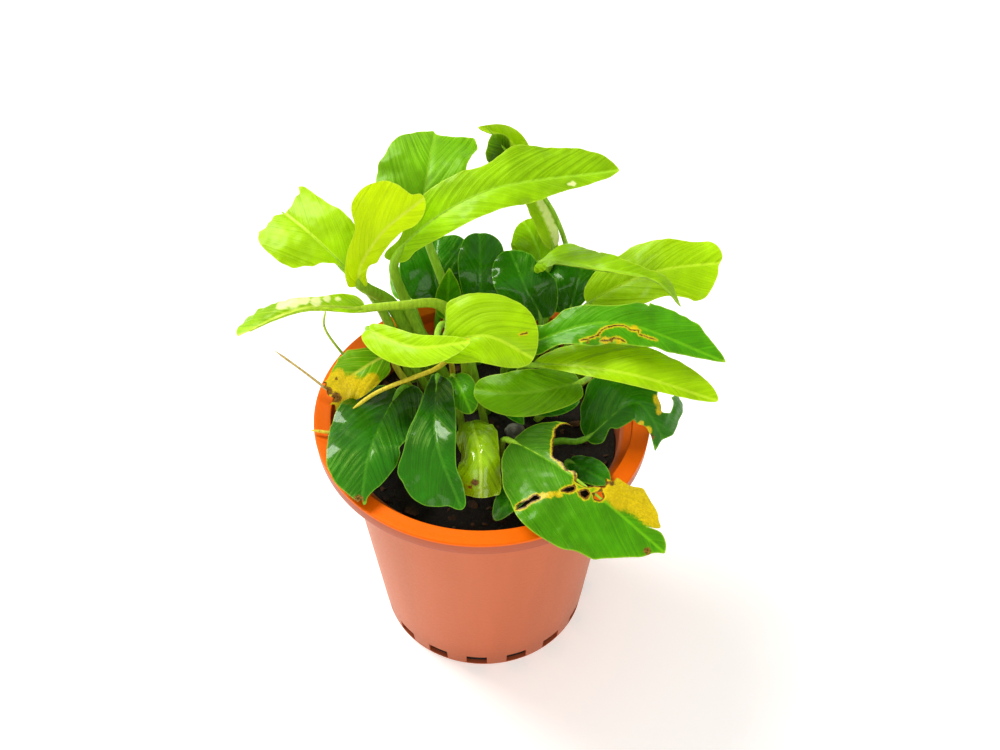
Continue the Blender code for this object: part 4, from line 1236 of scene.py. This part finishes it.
def cut_slots(pot, count, width):
    """Cut the drain slots, of one width in metres, through the foot of the wall."""
    shape = bmesh.new()
    for index in range(count):
        angle = math.radians(SLOT_FIRST_ANGLE + 360 * index / count)
        block = bmesh.ops.create_cube(shape, size=1.0)["verts"]
        for vert in block:
            out = BASE_RADIUS + vert.co.x * SLOT_CUT_DEPTH
            across = vert.co.y * width / MM
            height = SLOT_BOTTOM + (SLOT_TOP - SLOT_BOTTOM) * (vert.co.z + 0.5)
            vert.co = mm((
                out * math.cos(angle) - across * math.sin(angle),
                out * math.sin(angle) + across * math.cos(angle),
                height,
            ))
    cutter = finish_mesh(shape, "slot_blocks")
    cut = pot.modifiers.new("slots", "BOOLEAN")
    cut.operation = "DIFFERENCE"
    cut.solver = "EXACT"
    cut.object = cutter
    settle(pot)
    bpy.data.objects.remove(cutter)


def settle(piece):
    """Turn a piece's modifiers into its mesh."""
    bpy.context.view_layer.update()
    shown = piece.evaluated_get(bpy.context.evaluated_depsgraph_get())
    mesh = bpy.data.meshes.new_from_object(shown)
    piece.modifiers.clear()
    piece.data = mesh
    mesh.shade_smooth()
    mesh.set_sharp_from_angle(angle=math.radians(POT_SHARP))


def soil_height(x, y):
    """Height of the crumbly soil surface in millimetres."""
    place = Vector((x, y, 0.0))
    broad = noise.noise(place * 0.06)
    lump = noise.noise(place * 0.22 + Vector((5.0, 0.0, 0.0)))
    crumb = noise.noise(place * 0.7 + Vector((0.0, 9.0, 0.0)))
    return SOIL_TOP + 0.8 + 1.1 * broad + 1.0 * lump + 0.55 * crumb


def make_soil_mesh():
    """Soil body with a crumbly top, as one closed mesh."""
    bottom = FLOOR_THICKNESS + 0.3
    edge = wall_radius(SOIL_TOP) - WALL_THICKNESS - 0.3
    foot = wall_radius(bottom) - WALL_THICKNESS - 0.3
    profile = [(0, bottom), (foot, bottom), (edge, SOIL_TOP - 1.5)]
    profile += [(edge * (1 - ring / SOIL_RINGS), SOIL_TOP) for ring in range(SOIL_RINGS)]
    profile += [(0, SOIL_TOP)]
    soil = lathe("soil_crumbly", profile, SOIL_SEGMENTS)
    for vert in soil.data.vertices:
        if vert.co.z > (SOIL_TOP - 0.01) * MM:
            vert.co.z = soil_height(vert.co.x / MM, vert.co.y / MM) * MM
    return soil


def chip(shape, size, place, turn):
    """One flat, irregular flake."""
    made = bmesh.ops.create_icosphere(shape, subdivisions=2, radius=1.0)["verts"]
    shift = Vector(place) * 3.1
    for vert in made:
        rough = 1.0 + 0.45 * noise.noise(vert.co * 1.7 + shift)
        flat = Vector((vert.co.x * size[0], vert.co.y * size[1], vert.co.z * size[2])) * rough
        flat.rotate(turn)
        vert.co = (flat + Vector(place)) * MM


def make_chips(count):
    """Bark flakes and crumbs scattered over the soil."""
    draw = random.Random(11)
    shape = bmesh.new()
    limit = wall_radius(SOIL_TOP) - WALL_THICKNESS - 3.0
    for index in range(count):
        radius = limit * math.sqrt(draw.random())
        angle = draw.uniform(0, 2 * math.pi)
        x, y = radius * math.cos(angle), radius * math.sin(angle)
        long = draw.uniform(0.7, 1.6) if index % 4 else draw.uniform(1.8, 3.4)
        size = (long, long * draw.uniform(0.4, 0.8), long * draw.uniform(0.15, 0.4))
        turn = Euler((draw.uniform(-0.5, 0.5), draw.uniform(-0.5, 0.5), draw.uniform(0, 6.3)))
        chip(shape, size, (x, y, soil_height(x, y) + size[2] * 0.4), turn)
    return finish_mesh(shape, "bark_chips", 40)


def make_pebble_mesh():
    """Rounded, slightly lumpy stone."""
    shape = bmesh.new()
    for vert in bmesh.ops.create_icosphere(shape, subdivisions=5, radius=1.0)["verts"]:
        lump = 1.0 + 0.10 * noise.noise(vert.co * 1.6) + 0.03 * noise.noise(vert.co * 6.0)
        scaled = [part * size * lump for part, size in zip(vert.co, PEBBLE_SIZE)]
        vert.co = (Vector(scaled) + Vector(PEBBLE_PLACE)) * MM
    return finish_mesh(shape, "pebble_stone")


def build_shoot(shoot):
    """Mesh of one stem: a tapering tube with small swellings, sunk into the soil at its foot."""
    route = smooth_curve(shoot.route, SHOOT_STEPS)
    route[0] = route[0] - Vector((0.0, 0.0, ROOT_DEPTH))
    start, end = shoot.radii
    radii = []
    for index in range(len(route)):
        share = index / (len(route) - 1)
        swell = 1.0 + shoot.knots * max(0.0, math.sin(share * 9.0 + shoot.seed)) ** 6
        tip = min(1.0, 0.35 + (len(route) - 1 - index) * 0.25)
        radii.append((start + (end - start) * share) * swell * tip)
    shape = bmesh.new()
    tube(shape, route, radii, [1.0] * len(route), Vector((0.31, 0.17, 0.93)))
    return finish_mesh(shape, shoot.piece, 60)


def colour_setting(name, description, default):
    """Setting for one surface colour."""
    return bpy.props.FloatVectorProperty(
        name=name, description=description, default=default, subtype="COLOR", min=0.0, max=1.0)


class PothosPlantSettings(bpy.types.PropertyGroup):
    """Sizes and colours of the plant, its pot and its soil."""
    slot_count: bpy.props.IntProperty(
        name="Drain slots", description="Number of drain slots round the foot of the pot",
        default=SLOT_COUNT, min=0)
    slot_width: bpy.props.FloatProperty(
        name="Slot width", description="Width of one drain slot",
        default=SLOT_WIDTH * MM, min=0.0, unit="LENGTH")
    chip_count: bpy.props.IntProperty(
        name="Bark chips", description="Number of bark chips and crumbs on the soil",
        default=CHIP_COUNT, min=0)
    leaf_thickness: bpy.props.FloatProperty(
        name="Leaf thickness", description="Thickness of a leaf blade away from its margin",
        default=LEAF_THICKNESS * MM, min=0.0, unit="LENGTH")
    young: colour_setting("Young", "Yellow-green of a leaf that has just opened", (0.60, 0.84, 0.0))
    lime: colour_setting("Lime", "Green of the youngest leaves", (0.36, 0.62, 0.0))
    bright: colour_setting("Bright green", "Green of the leaves in full light", (0.31, 0.58, 0.0))
    olive: colour_setting("Olive", "Green of the duller upper leaves", (0.17, 0.42, 0.0))
    mid: colour_setting("Mid green", "Green of the older upper leaves", (0.08, 0.34, 0.002))
    dark: colour_setting("Dark green", "Green of the old lower leaves", (0.022, 0.19, 0.002))
    wilted: colour_setting("Wilted", "Yellow of dying leaf parts", (0.84, 0.60, 0.01))
    # cream of the pale streaks, also used for a painted highlight stripe on the hooked leaf
    pale: colour_setting("Variegation", "Cream of the pale streaks", (0.86, 0.92, 0.42))
    pot_wall: colour_setting("Pot wall", "Colour of the pot's wall", (0.56, 0.155, 0.068))
    # painted shade: the darker colour of the skirt below the lip
    pot_band_shade: colour_setting("Pot band", "Colour of the skirt below the lip", (0.42, 0.10, 0.05))
    pot_lip: colour_setting("Pot lip", "Colour of the flat lip", (0.86, 0.16, 0.0))
    soil: colour_setting("Soil", "Colour of the dry crumbs of the soil", (0.028, 0.018, 0.011))
    glow: bpy.props.FloatProperty(
        name="Glow", description="Share of light that passes through the leaves",
        default=0.15, min=0.0, max=1.0, subtype="FACTOR")


class PothosStageSettings(bpy.types.PropertyGroup):
    """Floor, camera and lights."""
    floor: colour_setting("Floor", "Colour of the floor", (0.93, 0.925, 0.90))
    lens: bpy.props.FloatProperty(
        name="Lens", description="Focal length of the camera",
        default=50.0, min=10.0, unit="CAMERA")
    place: bpy.props.FloatVectorProperty(
        name="Camera place", description="Where the camera stands",
        default=(0.0, -0.363, 0.5095), subtype="TRANSLATION", unit="LENGTH")
    tilt: bpy.props.FloatProperty(
        name="Camera tilt", description="How far the camera looks up from straight down",
        default=math.radians(43.91), subtype="ANGLE", unit="ROTATION")
    turn: bpy.props.FloatProperty(
        name="Camera turn", description="How far the camera is turned about the upright",
        default=math.radians(-1.09), subtype="ANGLE", unit="ROTATION")
    sky: bpy.props.FloatProperty(
        name="Sky light", description="Strength of the even white light", default=0.5, min=0.0)
    lift: bpy.props.FloatProperty(
        name="Floor lift", description="How much the floor glows, so that its shadows stay faint",
        default=0.27, min=0.0)
    key: bpy.props.FloatProperty(
        name="Main light", description="Power of the large soft light",
        default=13.0, min=0.0, unit="POWER")


class POTHOS_OT_pot(bpy.types.Operator):
    """Build the plastic pot with its drain slots"""
    bl_idname = "pothos.pot"
    bl_label = "Pot"

    def execute(self, context):
        pot = lathe("nursery_pot", pot_profile(), POT_SEGMENTS)
        plant = context.scene.pothos_plant
        cut_slots(pot, plant.slot_count, plant.slot_width)
        show(pot, pot_paint(plant), "pot")
        return {"FINISHED"}


class POTHOS_OT_soil(bpy.types.Operator):
    """Build the soil, the bark chips and the pebble"""
    bl_idname = "pothos.soil"
    bl_label = "Soil"

    def execute(self, context):
        plant = context.scene.pothos_plant
        show(make_soil_mesh(), soil_paint(plant), "soil")
        show(make_chips(plant.chip_count), chip_paint(), None)
        show(make_pebble_mesh(), pebble_paint(), "pebble")
        return {"FINISHED"}


class POTHOS_OT_leaves(bpy.types.Operator):
    """Build every leaf on its stalk"""
    bl_idname = "pothos.leaves"
    bl_label = "Leaves"

    def execute(self, context):
        plant = context.scene.pothos_plant
        noise.seed_set(TEAR_SEED)
        for leaf in LEAVES:
            piece = build_leaf(leaf, plant.leaf_thickness / MM)
            show(piece, leaf_paint(leaf, plant), leaf.name)
        return {"FINISHED"}


class POTHOS_OT_stems(bpy.types.Operator):
    """Build the vine stems, bare stalks, root and tendril"""
    bl_idname = "pothos.stems"
    bl_label = "Stems"

    def execute(self, context):
        plant = context.scene.pothos_plant
        for shoot in SHOOTS:
            show(build_shoot(shoot), shoot_paint(shoot, plant), shoot.name)
        return {"FINISHED"}


class POTHOS_OT_stage(bpy.types.Operator):
    """Set up the floor, the soft lights and the camera"""
    bl_idname = "pothos.stage"
    bl_label = "Stage"

    def execute(self, context):
        scene = context.scene
        stage = scene.pothos_stage
        shape = bmesh.new()
        bmesh.ops.create_grid(shape, x_segments=8, y_segments=8, size=FLOOR_HALF)
        floor = finish_mesh(shape, "floor")
        floor.data.materials.append(floor_paint(stage))
        world = bpy.data.worlds.new("studio")
        world.use_nodes = True
        sky = world.node_tree.nodes["Background"]
        sky.inputs["Color"].default_value = (1.0, 1.0, 1.0, 1.0)
        sky.inputs["Strength"].default_value = stage.sky
        scene.world = world
        for name, place, size, share in LIGHTS:
            lamp = bpy.data.lights.new(name, "AREA")
            lamp.shape = "SQUARE"
            lamp.size = size
            lamp.energy = stage.key * share
            made = bpy.data.objects.new(name, lamp)
            scene.collection.objects.link(made)
            made.location = place
            aim = Vector(LIGHT_AIM) - Vector(place)
            made.rotation_euler = aim.to_track_quat("-Z", "Y").to_euler()
        eye = bpy.data.cameras.new("camera")
        eye.lens = stage.lens
        eye.sensor_width = 36.0
        camera = bpy.data.objects.new("camera", eye)
        scene.collection.objects.link(camera)
        camera.location = stage.place
        camera.rotation_euler = (stage.tilt, 0.0, stage.turn)
        scene.camera = camera
        scene.view_settings.view_transform = "Standard"
        scene.view_settings.look = "Medium High Contrast"
        return {"FINISHED"}


class POTHOS_PT_panel(bpy.types.Panel):
    """Buttons and settings in the 3D view's sidebar"""
    bl_idname = "POTHOS_PT_panel"
    bl_label = "Potted Pothos"
    bl_space_type = "VIEW_3D"
    bl_region_type = "UI"
    bl_category = "Pothos"

    def draw(self, context):
        for maker in OPERATORS:
            self.layout.operator(maker.bl_idname)
        for group in (context.scene.pothos_plant, context.scene.pothos_stage):
            for name in group.__annotations__:
                self.layout.prop(group, name)


OPERATORS = (POTHOS_OT_pot, POTHOS_OT_soil, POTHOS_OT_leaves, POTHOS_OT_stems, POTHOS_OT_stage)
CLASSES = (PothosPlantSettings, PothosStageSettings, *OPERATORS, POTHOS_PT_panel)


def register():
    for made in CLASSES:
        bpy.utils.register_class(made)
    bpy.types.Scene.pothos_plant = bpy.props.PointerProperty(type=PothosPlantSettings)
    bpy.types.Scene.pothos_stage = bpy.props.PointerProperty(type=PothosStageSettings)


def unregister():
    del bpy.types.Scene.pothos_stage
    del bpy.types.Scene.pothos_plant
    for made in reversed(CLASSES):
        bpy.utils.unregister_class(made)


def main():
    """Build every piece and the stage."""
    register()
    bpy.ops.pothos.pot()
    bpy.ops.pothos.soil()
    bpy.ops.pothos.leaves()
    bpy.ops.pothos.stems()
    bpy.ops.pothos.stage()


if __name__ == "__main__":
    main()
